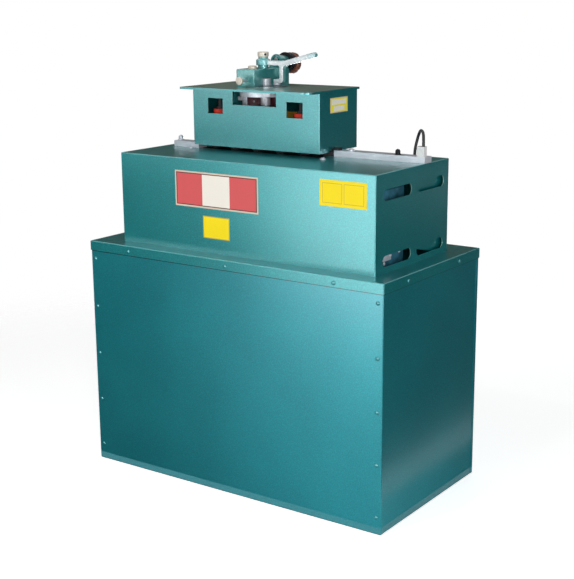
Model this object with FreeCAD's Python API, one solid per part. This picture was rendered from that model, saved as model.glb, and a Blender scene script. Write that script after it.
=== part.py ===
import FreeCAD, Part
import math
import os

# Pittsburgh lock roll former on a sheet-metal stand, with a power flanging head on its top plate.
# Millimetres. X runs along the sheet's path, -Y is the operator's side, +Z is up.
# The origin is the middle of the stand's base, on the floor.

Vector = FreeCAD.Vector
ORIGIN = Vector(0, 0, 0)
ALONG_X = Vector(1, 0, 0)
ALONG_Y = Vector(0, 1, 0)
ALONG_Z = Vector(0, 0, 1)

# Clearances
shaft_fit = 0.05
bolt_fit = 0.25
running_gap = 0.3
side_gap = 4.0

# Stand
stand_width = 1000.0
stand_depth = 524.0
stand_height = 678.0
panel_sheet = 1.5
panel_return = 12.0
panel_lift = 2.0
lid_sheet = 2.0
lid_flange = 28.0
bend_radius = 3.0
seam_width = 1.2
seam_depth = 0.7
angle_leg = 32.0
angle_wall = 3.0

# Cabinet screws
screw_inset = 16.0
screw_low = 47.0
screw_high_drop = 53.0
screw_rows = 5
lid_screw_drop = 17.0
lid_screw_spread = 352.0
lid_end_screw_spread = 140.0
screw_across_flats = 9.0
screw_head_height = 3.2
screw_neck = 5.0
screw_tail = 5.0

# Main guard over the roll train
guard_ledge_left = 85.0
guard_right = 444.0
guard_front = -211.0
guard_back = 176.0
guard_height = 260.0
guard_sheet = 2.0
guard_foot = 15.0
slot_length = 146.0
slot_height = 30.0
slot_front_y = -102.0
slot_rear_y = 74.0
slot_low = 31.0
slot_high = 203.0

# Baffles behind the guard's rear slots
baffle_gap = 10.0
baffle_front = 0.0
baffle_foot_front = 100.0
baffle_low_front = 36.0
baffle_low_back = 12.0
baffle_foot = 18.0

# Head guard and the plate on it
head_left = -299.0
head_right = 146.5
head_front = -19.0
head_back = 176.0
head_rise = 176.0
sheet_slot = 11.0
head_stand_right = 60.0
window_offset = 139.6
window_width = 55.0
window_height = 44.0
window_drop = 49.0
mouth_width = 154.0
mouth_height = 43.0
plate_thickness = 6.0
plate_left = -301.0
plate_right = 150.0
plate_front = -77.0
plate_back = 184.0
plate_corner = 25.0
plate_small_corner = 4.0

# Roll train
station_count = 5
station_pitch = 80.0
train_middle = -76.5
gear_module = 5.0
main_teeth = 12
idler_teeth = 9
drive_teeth = 18
tooth_addendum = 0.8
tooth_dedendum = 1.0
tooth_root_share = 0.65
tooth_tip_share = 0.25
gear_width = 16.0
sheet_gap = 1.0
roll_rise = 1.5
roll_width = 50.0
roll_front = 0.0
roll_flat = 20.0
roll_slope = 8.0
roll_step = 1.8
spindle_radius = 12.5
spindle_nose = 4.0
pin_radius = 8.0
nut_height = 10.0
nut_across_flats = 36.0

# Bearing plates, bed and top plate
bed_thickness = 12.0
bed_left = -330.0
bed_right = 190.0
bed_front = -125.0
bed_back = 150.0
bearing_thickness = 16.0
bearing_front_y = 56.0
bearing_rear_y = 122.0
bearing_side = 45.0
bearing_above = 10.0
spacer_radius = 10.0
spacer_low = 40.0
spacer_high = 165.0
spacer_inset = 16.0
top_thickness = 12.0
top_front = -10.0
ear_height = 36.0
ear_width = 70.0

# Studs and cushion springs under the table plate
stud_radius = 7.0
stud_offset = 143.0
stud_front_y = 10.0
stud_rear_y = 150.0
cushion_radius = 20.0
cushion_height = 33.0
stud_collar_radius = 13.0
stud_collar_height = 7.0

# Gear reducer, belt and motor
reducer_width = 116.0
reducer_depth = 118.0
reducer_back = 50.0
reducer_roll_gap = 18.5
reducer_foot = 10.0
reducer_foot_height = 12.0
reducer_boss_radius = 27.0
reducer_boss_length = 5.0
worm_drop = 62.0
worm_y = -10.0
input_shaft_radius = 9.5
output_shaft_radius = 12.0
journal_depth = 30.0
pulley_width = 22.0
pulley_gap = 14.0
pulley_rim = 2.0
reducer_pulley_radius = 60.0
motor_pulley_radius = 30.0
belt_width = 10.0
belt_height = 8.0
groove_slope = 2.0
motor_axis_height = 360.0
motor_radius = 78.0
motor_length = 220.0
motor_gap = 18.0
motor_bell = 22.0
motor_bell_step = 14.0
motor_foot_width = 130.0
motor_foot_length = 150.0
motor_seat_drop = 90.0
motor_plate_thickness = 8.0
motor_plate_margin = 12.0
belt_slot_width = 30.0

# Flanging head drive
flanger_x = -94.0
flanger_y = 61.0
flanger_input_rise = 28.0
case_half_width = 34.0
case_front = 26.0
case_middle = 76.0
case_back = 94.0
case_low_height = 44.0
case_high_height = 67.0
bracket_sheet = 3.0
bracket_right = 46.0
bracket_height = 34.0
bracket_front = 28.0
bracket_foot = 26.0
flanger_shaft_radius = 14.0
flanger_tip_radius = 8.0
drive_disc_radius = 74.0
drive_disc_height = 17.0
drive_disc_gap = 3.0
wear_disc_radius = 66.0
wear_disc_height = 2.5
wear_hub_radius = 24.0
main_roller_radius = 16.0
main_roller_height = 20.0
roller_collar_radius = 18.0
roller_collar_height = 3.4

# Flanging head casting
body_left = -154.0
body_right = -90.0
body_front = 2.0
body_height = 50.5
pillar_front = 118.0
pillar_back = 146.0
pillar_left = -125.0
pillar_right = -70.5
pillar_shoulder = 42.0
boss_x = -97.5
boss_rise = 71.0
boss_radius = 18.0
boss_length = 43.3
boss_tilt = 8.0
recess_radius = 18.5
recess_height = 24.0
casting_round = 2.5
plug_x = -115.5
plug_y = 29.0
plug_radius = 12.5
plug_height = 9.0
plug_stem = 8.0
plug_depth = 12.0

# Pivot stud and lever
pivot_x = -108.0
pivot_y = 71.0
pivot_radius = 10.0
pivot_depth = 20.0
pivot_collar_radius = 15.5
pivot_collar_height = 8.5
cap_radius = 16.0
cap_height = 13.5
cap_chamfer = 1.5
cap_seat = 8.0
set_screw_radius = 3.4
set_screw_turn = 57.0
hub_radius = 20.5
hub_height = 15.3
hub_neck_radius = 14.0
hub_neck_height = 8.5
hub_slope = 4.0
lever_depth = 13.5
lever_arm_height = 13.0
lever_drop_left = -46.5
lever_drop_right = -34.0
lever_foot_left = -67.5
lever_foot_height = 11.0
lever_foot_gap = 8.0
lever_inner_round = 6.0
lever_outer_round = 10.0
handle_end_x = 69.0
handle_end_rise = 41.0
handle_root_height = 15.0
handle_end_radius = 7.5
foot_roller_x = -61.0
foot_roller_y = 72.0
foot_roller_radius = 10.0
foot_roller_height = 6.5
foot_pin_radius = 4.0

# Tension screw, spring and knob
tension_radius = 8.0
tension_recess_radius = 12.0
tension_recess = 4.0
spring_mean_radius = 25.8
spring_wire_radius = 2.2
spring_length = 20.0
spring_turns = 3
spring_seat = 2.5
spring_washer_radius = 28.0
spring_washer_thickness = 2.0
knob_radius = 31.0
knob_thickness = 20.0
knob_lobes = 8
knob_lobe_radius = 7.0
knob_lobe_depth = 2.5
knob_round = 3.0

# Thumb screw on the casting's front
thumb_x = -119.0
thumb_rise = 20.0
thumb_radius = 4.0
thumb_depth = 14.0
thumb_reach = 28.0
thumb_neck_radius = 6.5
thumb_neck = 8.0
thumb_disc_radius = 11.5
thumb_disc = 6.0

# Sheet guides on the main guard
entry_left = 158.0
entry_right = 445.0
entry_front = 36.0
exit_left = -378.0
exit_right = -284.0
exit_front = -16.0
guide_width = 37.0
guide_height = 17.0
guide_notch_gap = 3.0
shoe_left = 122.0
shoe_right = 174.0
shoe_width = 18.0
shoe_height = 8.0
shoe_riser = 3.0
shoe_tongue = 12.0
guide_bolt_radius = 4.0
washer_radius = 9.0
washer_height = 2.0
bolt_head_across = 14.0
bolt_head_height = 7.0
button_radius = 9.5
bolt_tail = 12.0
bolt_dome_height = 6.5
guide_bolt_inset = 13.0
entry_bolt_a = 207.0
entry_bolt_b = 355.0
exit_bolt = -367.0
slot_screw_left = -301.0
slot_screw_right = 164.5
slot_screw_y = -30.0
slot_screw_washer = 8.5
slot_screw_small_washer = 5.0
slot_screw_head = 5.0
slot_screw_stem = 3.0
slot_screw_rise = 2.5

# Limit switch and its lead
switch_left = 417.5
switch_width = 22.0
switch_depth = 18.5
switch_height = 27.0
switch_inset = 3.0
switch_round = 2.0
lead_radius = 4.0
lead_crest = 40.0
lead_exit_inset = 6.0
gland_x = 385.0
gland_y = 87.5
gland_radius = 8.0
gland_height = 9.0

# Reversing switch on the stand's left ledge
drum_inset = 40.0
drum_y = -15.0
drum_width = 62.0
drum_depth = 92.0
drum_height = 118.0
drum_round = 5.0
drum_shaft_radius = 5.0
drum_shaft_depth = 16.0
handle_length = 48.0
handle_width = 14.0
handle_thickness = 10.0
handle_gap = 2.0
supply_gland_radius = 13.0
supply_gland_length = 22.0
supply_gland_bore = 6.0
supply_gland_taper = 3.0

# Places worked out from the sizes above
half_width = stand_width / 2
half_depth = stand_depth / 2
lid_under = stand_height - lid_sheet
post_x = half_width - 2 * panel_sheet
post_y = half_depth - panel_sheet
screw_pitch = (stand_height - screw_high_drop - screw_low) / (screw_rows - 1)
guard_left = guard_ledge_left - half_width
guard_top = stand_height + guard_height
head_top = guard_top + head_rise
plate_top = head_top + plate_thickness
bed_top = stand_height + bed_thickness
main_pitch_radius = gear_module * main_teeth / 2
idler_pitch_radius = gear_module * idler_teeth / 2
drive_pitch_radius = gear_module * drive_teeth / 2
roll_radius = main_pitch_radius - sheet_gap / 2
lower_axis = guard_top + roll_rise - roll_radius
upper_axis = lower_axis + 2 * main_pitch_radius
reducer_top = lower_axis - roll_radius - reducer_roll_gap
idler_reach = main_pitch_radius + idler_pitch_radius
idler_axis = lower_axis - math.sqrt(idler_reach ** 2 - (station_pitch / 2) ** 2)
drive_axis = idler_axis - idler_pitch_radius - drive_pitch_radius
stations = [train_middle + station_pitch * (i - (station_count - 1) / 2) for i in range(station_count)]
idlers = [x + station_pitch / 2 for x in stations[:-1]]
drive_x = idlers[len(idlers) // 2]
bearing_left = stations[0] - bearing_side
bearing_right = stations[-1] + bearing_side
tip_radius = main_pitch_radius + tooth_addendum * gear_module
bearing_top = upper_axis + tip_radius + bearing_above - side_gap
top_plate_top = bearing_top + top_thickness
bearing_front_back = bearing_front_y + bearing_thickness
bearing_rear_back = bearing_rear_y + bearing_thickness
gear_back = bearing_rear_y - side_gap
gear_front = gear_back - gear_width
worm_axis = drive_axis - worm_drop
reducer_left = drive_x - reducer_width / 2
pulley_right = reducer_left - reducer_boss_length - pulley_gap
pulley_left = pulley_right - pulley_width
belt_x = (pulley_left + pulley_right) / 2
motor_left = pulley_right + motor_gap
motor_right = motor_left + motor_length
motor_seat = motor_axis_height - motor_seat_drop
flanger_input_axis = top_plate_top + flanger_input_rise
wear_top = plate_top + wear_disc_height
drive_disc_top = head_top - drive_disc_gap
drive_disc_bottom = drive_disc_top - drive_disc_height
body_top = plate_top + body_height
drum_x = -half_width + drum_inset
boss_axis = plate_top + boss_rise
boss_direction = Vector(0, math.cos(math.radians(boss_tilt)), -math.sin(math.radians(boss_tilt)))
boss_point = Vector(boss_x, pillar_front, boss_axis)
washer_start = boss_length + running_gap
hub_bottom = body_top + pivot_collar_height + running_gap
hub_top = hub_bottom + hub_height
cap_bottom = hub_top + hub_neck_height + running_gap
guide_top = guard_top + guide_height


def block(x0, x1, y0, y1, z0, z1):
    """A box between two corners, given in any order."""
    corner = Vector(min(x0, x1), min(y0, y1), min(z0, z1))
    return Part.makeBox(abs(x1 - x0), abs(y1 - y0), abs(z1 - z0), corner)


def rod(radius, start, direction, length):
    return Part.makeCylinder(radius, length, start, direction)


def joined(shapes):
    """Several touching or crossing shapes as one solid with no seams in its flat faces."""
    return shapes[0].multiFuse(shapes[1:]).removeSplitter()


def without(shape, tools):
    """The shape less every tool."""
    return shape.cut(Part.makeCompound(tools))


def placed(shape, point, direction):
    """A shape made upright at the origin, stood at a point along a direction."""
    turn = FreeCAD.Rotation(ALONG_Z, direction)
    copy = shape.copy()
    copy.Placement = FreeCAD.Placement(point, turn)
    return copy


def turned(profile, point, direction):
    """A lathe part from (radius, height) points, stood at a point along a direction."""
    corners = [Vector(r, 0, h) for r, h in profile]
    face = Part.Face(Part.makePolygon(corners + corners[:1]))
    return placed(face.revolve(ORIGIN, ALONG_Z, 360), point, direction)


def hexagon(across_flats, height, point, direction):
    """A hexagonal prism, such as a bolt head."""
    radius = across_flats / math.sqrt(3)
    corners = [Vector(radius * math.cos(math.radians(a)), radius * math.sin(math.radians(a)), 0)
               for a in range(0, 360, 60)]
    prism = Part.Face(Part.makePolygon(corners + corners[:1])).extrude(Vector(0, 0, height))
    return placed(prism, point, direction)


def rounded(shape, radius, points):
    """The shape with the edges whose middles lie at the given points rounded."""
    picked = []
    for edge in shape.Edges:
        if any(edge.CenterOfMass.distanceToPoint(p) < 0.01 for p in points):
            picked.append(edge)
    return shape.makeFillet(radius, picked)


def upright_edges(x0, x1, y0, y1, z0, z1):
    """The middles of a box's four upright edges."""
    middle = (z0 + z1) / 2
    return [Vector(x, y, middle) for x in (x0, x1) for y in (y0, y1)]


def level_edges(x0, x1, y0, y1, z):
    """The middles of the four edges of a box's level face at height z."""
    along_x = [Vector((x0 + x1) / 2, y, z) for y in (y0, y1)]
    along_y = [Vector(x, (y0 + y1) / 2, z) for x in (x0, x1)]
    return along_x + along_y


def folded_box(x0, x1, y0, y1, z0, z1, sheet, radius):
    """A sheet-metal box with an open bottom, bent edges outside and a ground top."""
    outside = block(x0, x1, y0, y1, z0, z1)
    edges = upright_edges(x0, x1, y0, y1, z0, z1) + level_edges(x0, x1, y0, y1, z1)
    outside = rounded(outside, radius, edges)
    return outside.cut(block(x0 + sheet, x1 - sheet, y0 + sheet, y1 - sheet, z0 - sheet, z1 - sheet))


def slot_cutter(y, z, length, height, x0, x1):
    """A cutter along X for a slot with round ends."""
    reach = length / 2 - height / 2
    straight = block(x0, x1, y - reach, y + reach, z - height / 2, z + height / 2)
    ends = [rod(height / 2, Vector(x0, y + side, z), ALONG_X, x1 - x0) for side in (-reach, reach)]
    return joined([straight] + ends)


def save(name, shapes):
    """One node: a solid, or a group of separate solids."""
    solids = [solid for shape in shapes for solid in shape.Solids]
    whole = solids[0] if len(solids) == 1 else Part.makeCompound(solids)
    whole.exportStep("parts/" + name + ".step")


def screw_places():
    """Each cabinet screw's seat, outward direction and grip."""
    grip = panel_sheet + angle_wall + screw_tail
    seats = []
    for side in (-1, 1):
        outward = Vector(0, side, 0)
        for x in (-half_width + screw_inset, half_width - screw_inset):
            for row in range(screw_rows):
                seats.append((Vector(x, side * half_depth, screw_low + row * screw_pitch), outward, grip))
        height = stand_height - lid_screw_drop
        for x in (-lid_screw_spread, 0, lid_screw_spread):
            seat = Vector(x, side * (half_depth + lid_sheet), height)
            seats.append((seat, outward, grip + lid_sheet))
        for y in (-lid_end_screw_spread, lid_end_screw_spread):
            seat = Vector(side * (half_width + lid_sheet), y, height)
            seats.append((seat, Vector(side, 0, 0), grip + lid_sheet + panel_sheet))
    return seats


def screw_neck_solid(seat, outward, grip, width):
    """The square neck of a cabinet screw, or with more width the hole that it goes through."""
    half = width / 2
    inner = seat - outward * grip
    if outward.x == 0:
        return block(seat.x - half, seat.x + half, seat.y, inner.y, seat.z - half, seat.z + half)
    return block(seat.x, inner.x, seat.y - half, seat.y + half, seat.z - half, seat.z + half)


def cabinet_screw(seat, outward, grip):
    head = hexagon(screw_across_flats, screw_head_height, seat, outward)
    return joined([head, screw_neck_solid(seat, outward, grip, screw_neck)])


def screw_holes():
    return [screw_neck_solid(seat, outward, grip + screw_tail, screw_neck + 2 * bolt_fit)
            for seat, outward, grip in screw_places()]


def angle_along_x(heel_y, heel_z, into_y, into_z):
    """Angle iron along X between the corner posts, with its legs running from its heel into the stand."""
    reach = post_x - angle_leg
    upright = block(-reach, reach, heel_y, heel_y + into_y * angle_wall, heel_z, heel_z + into_z * angle_leg)
    flat = block(-reach, reach, heel_y, heel_y + into_y * angle_leg, heel_z, heel_z + into_z * angle_wall)
    return joined([upright, flat])


def angle_along_y(heel_x, heel_z, into_x, into_z):
    """Angle iron along Y between the corner posts, with its legs running from its heel into the stand."""
    reach = post_y - angle_leg
    upright = block(heel_x, heel_x + into_x * angle_wall, -reach, reach, heel_z, heel_z + into_z * angle_leg)
    flat = block(heel_x, heel_x + into_x * angle_leg, -reach, reach, heel_z, heel_z + into_z * angle_wall)
    return joined([upright, flat])


def angle_post(heel_x, heel_y, into_x, into_y):
    """A corner post of angle iron from the floor to the lid."""
    facing_end = block(heel_x, heel_x + into_x * angle_wall, heel_y, heel_y + into_y * angle_leg, 0, lid_under)
    facing_front = block(heel_x, heel_x + into_x * angle_leg, heel_y, heel_y + into_y * angle_wall, 0, lid_under)
    return joined([facing_end, facing_front])


def stand_frame():
    """The welded frame: posts, bottom and top rails, the bed's bearers, the motor's bearers and their plate."""
    bars = [motor_mount()]
    for side_x in (-1, 1):
        for side_y in (-1, 1):
            bars.append(angle_post(side_x * post_x, side_y * post_y, -side_x, -side_y))
    for side in (-1, 1):
        bars.append(angle_along_x(side * post_y, 0, -side, 1))
        bars.append(angle_along_y(side * post_x, 0, -side, 1))
        bars.append(angle_along_x(side * post_y, lid_under, -side, -1))
        bars.append(angle_along_y(side * post_x, lid_under, -side, -1))
        bars.append(angle_along_x(side * post_y, motor_bearer_top(), -side, -1))
    for x, into in ((bed_left, 1), (bed_right, -1)):
        bars.append(angle_along_y(x, lid_under, into, -1))
    for x, into in motor_bearer_heels():
        bars.append(angle_along_y(x, motor_bearer_top(), into, -1))
    return [without(bar, screw_holes()) for bar in bars]


def motor_bearer_top():
    return motor_seat - motor_plate_thickness


def motor_bearer_heels():
    return ((motor_left + motor_plate_margin, 1), (motor_right - motor_plate_margin, -1))


def wrapped_panel(side):
    """The front or back panel, whose ends are bent round the corner posts."""
    outer = side * half_depth
    inner = outer - side * panel_return
    top = lid_under - running_gap
    sheet = block(-half_width, half_width, outer, inner, panel_lift, top)
    edges = [Vector(x, outer, (panel_lift + top) / 2) for x in (-half_width, half_width)]
    sheet = rounded(sheet, bend_radius, edges)
    pocket = block(-half_width + panel_sheet, half_width - panel_sheet,
                   outer - side * panel_sheet, inner - side, panel_lift - 1, top + 1)
    return without(sheet.cut(pocket), screw_holes())


def end_panel(side):
    """An end panel, held between the returns of the front and back panels and the posts."""
    inner = side * post_x
    outer = inner + side * panel_sheet
    reach = post_y - running_gap
    sheet = block(inner, outer, -reach, reach, panel_lift, lid_under - running_gap)
    return without(sheet, screw_holes())


def mitre_groove(lid_corner, guard_corner):
    """A shallow groove along a mitred seam of the lid."""
    run = guard_corner - lid_corner
    angle = math.degrees(math.atan2(run.y, run.x))
    groove = Part.makeBox(run.Length, seam_width, 2 * seam_depth, Vector(0, -seam_width / 2, -seam_depth))
    groove.Placement = FreeCAD.Placement(lid_corner, FreeCAD.Rotation(ALONG_Z, angle))
    return groove


def belt_opening(z0, z1):
    """The slot that the belt passes through, in the lid and the bed plate."""
    half = reducer_pulley_radius + belt_height + side_gap
    return block(belt_x - belt_slot_width / 2, belt_x + belt_slot_width / 2,
                 worm_y - half, worm_y + half, z0, z1)


def stand_lid():
    """A shallow pan over the frame, with mitred corners and a slot for the belt."""
    x = half_width + lid_sheet
    y = half_depth + lid_sheet
    pan = folded_box(-x, x, -y, y, stand_height - lid_flange, stand_height, lid_sheet, bend_radius)
    cutters = [belt_opening(lid_under - 1, stand_height + 1)] + screw_holes()
    for lid_x, guard_x in ((-x, guard_left), (x, guard_right)):
        for lid_y, guard_y in ((-y, guard_front), (y, guard_back)):
            corner = Vector(lid_x, lid_y, stand_height)
            cutters.append(mitre_groove(corner, Vector(guard_x, guard_y, stand_height)))
    return without(pan, cutters)


def main_guard():
    """The guard over the roll train: slotted ends, inward feet, and holes for the rolls and guides."""
    guard = folded_box(guard_left, guard_right, guard_front, guard_back,
                       stand_height, guard_top, guard_sheet, bend_radius)
    feet = []
    for wall, side in ((guard_front + guard_sheet, 1), (guard_back - guard_sheet, -1)):
        feet.append(block(guard_left + guard_sheet, guard_right - guard_sheet, wall, wall + side * guard_foot,
                          stand_height, stand_height + guard_sheet))
    cutters = []
    for y in (slot_front_y, slot_rear_y):
        for z in (stand_height + slot_low, stand_height + slot_high):
            cutters.append(slot_cutter(y, z, slot_length, slot_height, guard_left - 1, guard_right + 1))
    cutters.append(block(bearing_left - side_gap, bearing_right + side_gap, roll_front - side_gap,
                         bearing_rear_back + side_gap, guard_top - guard_sheet - 1, guard_top + 1))
    under = Vector(0, 0, guard_top - guard_sheet - 1)
    for x, y in guide_bolt_places():
        cutters.append(rod(guide_bolt_radius + bolt_fit, under + Vector(x, y, 0), ALONG_Z, guard_sheet + 2))
    for x, _ in slot_screw_places():
        cutters.append(rod(slot_screw_stem + bolt_fit, under + Vector(x, slot_screw_y, 0), ALONG_Z,
                           guard_sheet + 2))
    cutters.append(rod(gland_radius - 2, under + Vector(gland_x, gland_y, 0), ALONG_Z, guard_sheet + 2))
    return without(joined([guard] + feet), cutters)


def guard_baffle(side):
    """A sheet behind the rear slots of one end of the guard, on a foot turned inward on the lid."""
    outer = (guard_right if side > 0 else guard_left) - side * (guard_sheet + baffle_gap)
    back = guard_back - guard_sheet - guard_foot - side_gap
    top = guard_top - guard_sheet - running_gap
    low_front = stand_height + baffle_low_front
    low_back = stand_height + baffle_low_back
    outline = [(baffle_front, top), (baffle_front, low_front), (baffle_foot_front, low_back),
               (baffle_foot_front, stand_height), (back, stand_height), (back, top)]
    corners = [Vector(outer, y, z) for y, z in outline + outline[:1]]
    sheet = Part.Face(Part.makePolygon(corners)).extrude(Vector(-side * guard_sheet, 0, 0))
    foot = block(outer, outer - side * baffle_foot, baffle_foot_front, back,
                 stand_height, stand_height + guard_sheet)
    return joined([sheet, foot])


def head_guard():
    """The sleeve over the upper rolls. It stands on its left and back walls and has a sheet slot, windows and a mouth."""
    bottom = guard_top
    outside = block(head_left, head_right, head_front, head_back, bottom, head_top)
    outside = rounded(outside, bend_radius,
                      upright_edges(head_left, head_right, head_front, head_back, bottom, head_top))
    sleeve = outside.cut(block(head_left + guard_sheet, head_right - guard_sheet, head_front + guard_sheet,
                               head_back - guard_sheet, bottom - 1, head_top + 1))
    wall = (head_front - 1, head_front + guard_sheet + 1)
    window_top = head_top - window_drop + window_height / 2
    cutters = [block(head_left - 1, head_right + 1, wall[0], head_front + bend_radius, bottom - 1,
                     bottom + sheet_slot)]
    for offset in (-window_offset, window_offset):
        middle = train_middle + offset
        cutters.append(block(middle - window_width / 2, middle + window_width / 2, wall[0], wall[1],
                             window_top - window_height, window_top))
    cutters.append(block(train_middle - mouth_width / 2, train_middle + mouth_width / 2, wall[0], wall[1],
                         head_top - mouth_height, head_top + 1))
    slot_back = entry_front + guide_width + guide_notch_gap
    for x0, x1, guide_front in ((head_left - 1, head_left + guard_sheet + 1, exit_front),
                                (head_right - guard_sheet - 1, head_right + 1, entry_front)):
        cutters.append(block(x0, x1, wall[0], slot_back, bottom - 1, bottom + sheet_slot))
        cutters.append(block(x0, x1, guide_front - guide_notch_gap, guide_front + guide_width + guide_notch_gap,
                             bottom - 1, guide_top + guide_notch_gap))
    cutters.append(block(head_stand_right, head_right + 1, head_back - bend_radius, head_back + 1, bottom - 1,
                         bottom + sheet_slot))
    cutters.append(block(head_right - bend_radius, head_right + 1, slot_back - 1, head_back + 1, bottom - 1,
                         bottom + sheet_slot))
    return without(sleeve, cutters)


def table_plate():
    """The thick plate on the head guard that carries the flanging head."""
    plate = block(plate_left, plate_right, plate_front, plate_back, head_top, plate_top)
    middle = (head_top + plate_top) / 2
    big = [Vector(plate_right, plate_front, middle)]
    small = [Vector(plate_left, plate_front, middle), Vector(plate_left, plate_back, middle),
             Vector(plate_right, plate_back, middle)]
    plate = rounded(rounded(plate, plate_corner, big), plate_small_corner, small)
    under = head_top - 1
    cutters = [rod(wear_hub_radius + shaft_fit, Vector(flanger_x, flanger_y, under), ALONG_Z, plate_thickness + 2)]
    return without(plate, cutters)


def gear_face(teeth, phase):
    """A spur gear's outline in the XY plane, with straight flanks and room for backlash."""
    pitch_radius = gear_module * teeth / 2
    root = pitch_radius - tooth_dedendum * gear_module
    tip = pitch_radius + tooth_addendum * gear_module
    corners = []
    for tooth in range(teeth):
        middle = phase + 2 * math.pi * tooth / teeth
        for radius, share in ((root, -tooth_root_share), (tip, -tooth_tip_share),
                              (tip, tooth_tip_share), (root, tooth_root_share)):
            angle = middle + share * math.pi / teeth
            corners.append(Vector(radius * math.cos(angle), radius * math.sin(angle), 0))
    return Part.Face(Part.makePolygon(corners + corners[:1]))


def gear(teeth, phase, x, z, bore):
    """A spur gear about a Y axis between the bearing plates. Its phase is the angle of one tooth from +X to +Z."""
    blank = gear_face(teeth, phase).extrude(Vector(0, 0, -gear_width))
    blank.Placement = FreeCAD.Placement(Vector(x, gear_front, z), FreeCAD.Rotation(ALONG_X, 90))
    return blank.cut(rod(bore + shaft_fit, Vector(x, gear_front - 1, z), ALONG_Y, gear_width + 2))


def meshed_phase(teeth, phase, direction, next_teeth):
    """The phase of a gear whose gap meets its neighbour's tooth, where direction points at it."""
    return direction + math.pi - math.pi / next_teeth + teeth / next_teeth * (direction - phase)


def train_phases():
    """The tooth phases of every gear, worked out from the first lower gear."""
    down = math.atan2(idler_axis - lower_axis, station_pitch / 2)
    up = math.atan2(lower_axis - idler_axis, station_pitch / 2)
    lower = [0.0]
    between = []
    for idler in idlers:
        between.append(meshed_phase(main_teeth, lower[-1], down, idler_teeth))
        lower.append(meshed_phase(idler_teeth, between[-1], up, main_teeth))
    upper = [meshed_phase(main_teeth, phase, math.pi / 2, main_teeth) for phase in lower]
    return lower, between, upper


def forming_roll(x, z, step):
    """One forming roll. Its rear part is higher or lower by the step, which grows along the train."""
    front = (roll_radius, 0)
    profile = [(spindle_radius + shaft_fit, 0), front, (roll_radius, roll_flat),
               (roll_radius + step, roll_flat + roll_slope), (roll_radius + step, roll_width),
               (spindle_radius + shaft_fit, roll_width)]
    return turned(profile, Vector(x, roll_front, z), ALONG_Y)


def spindle(x, z, step, phase):
    """A roll spindle: shaft, forming roll and gear, each its own solid."""
    start = roll_front - spindle_nose
    shaft = rod(spindle_radius, Vector(x, start, z), ALONG_Y, bearing_rear_back - start)
    return [shaft, forming_roll(x, z, step), gear(main_teeth, phase, x, z, spindle_radius)]


def idler_centre():
    """Where the flanging head's idler meshes with the middle upper gear and the input gear."""
    first = Vector(stations[station_count // 2], 0, upper_axis)
    last = Vector(flanger_x, 0, flanger_input_axis)
    line = last - first
    near = main_pitch_radius + idler_pitch_radius
    far = 2 * idler_pitch_radius
    along = (near ** 2 - far ** 2 + line.Length ** 2) / (2 * line.Length)
    aside = math.sqrt(near ** 2 - along ** 2)
    unit = line * (1 / line.Length)
    return first + unit * along + Vector(unit.z, 0, -unit.x) * aside


def bearing_plate(front_y):
    """One of the two plates that carry all the spindles."""
    plate = block(bearing_left, bearing_right, front_y, front_y + bearing_thickness, bed_top, bearing_top)
    if front_y == bearing_rear_y:
        ear_x = idler_centre().x
        ear = block(ear_x - ear_width / 2, ear_x + ear_width / 2, front_y, front_y + bearing_thickness,
                    bed_top, bearing_top + ear_height)
        plate = joined([plate, ear])
    cutters = []
    start = front_y - 1
    length = bearing_thickness + 2
    for x in stations:
        for z in (lower_axis, upper_axis):
            cutters.append(rod(spindle_radius + shaft_fit, Vector(x, start, z), ALONG_Y, length))
    if front_y == bearing_rear_y:
        for pin in pin_places():
            cutters.append(rod(pin_radius + shaft_fit, Vector(pin.x, start, pin.z), ALONG_Y, length))
    else:
        cutters.append(rod(output_shaft_radius + side_gap, Vector(drive_x, start, drive_axis), ALONG_Y, length))
    return without(plate, cutters)


def pin_places():
    return [Vector(x, 0, idler_axis) for x in idlers] + [idler_centre()]


def idler_pins():
    """The pins pressed into the rear bearing plate, one for each idler."""
    start = gear_front - 2
    return [rod(pin_radius, Vector(pin.x, start, pin.z), ALONG_Y, bearing_rear_back - start)
            for pin in pin_places()]


def plate_spacers():
    """Spacers that hold the two bearing plates apart, clear of the gears."""
    spacers = []
    for x in (bearing_left + spacer_inset, bearing_right - spacer_inset):
        for z in (bed_top + spacer_low, bed_top + spacer_high):
            spacers.append(rod(spacer_radius, Vector(x, bearing_front_back, z), ALONG_Y,
                               bearing_rear_y - bearing_front_back))
    return spacers


def top_plate():
    """The plate across both bearing plates, cut away behind for the flanging head's gears."""
    plate = block(bearing_left, bearing_right, top_front, stud_rear_y + cushion_radius, bearing_top, top_plate_top)
    reach = idler_pitch_radius + tooth_addendum * gear_module + side_gap
    left = flanger_x - reach
    right = idler_centre().x + max(reach, ear_width / 2 + running_gap)
    notch = block(left, right, gear_front - side_gap, bearing_rear_back + running_gap,
                  bearing_top - 1, top_plate_top + 1)
    return without(plate, [notch] + stud_holes())


def stud_places():
    return [Vector(train_middle + x, y, top_plate_top)
            for x in (-stud_offset, stud_offset) for y in (stud_front_y, stud_rear_y)]


def stud_holes():
    deep = Vector(0, 0, -top_thickness / 2)
    return [rod(stud_radius + bolt_fit, place + deep, ALONG_Z, top_thickness) for place in stud_places()]


def table_stud(place):
    """A black stud from the top plate to the table plate, with a collar above its cushion spring."""
    base = place - Vector(0, 0, top_thickness / 2)
    height = head_top - base.z
    collar_low = top_thickness / 2 + cushion_height
    profile = [(0, 0), (stud_radius, 0), (stud_radius, collar_low), (stud_collar_radius, collar_low),
               (stud_collar_radius, collar_low + stud_collar_height),
               (stud_radius, collar_low + stud_collar_height), (stud_radius, height), (0, height)]
    return turned(profile, base, ALONG_Z)


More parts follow.
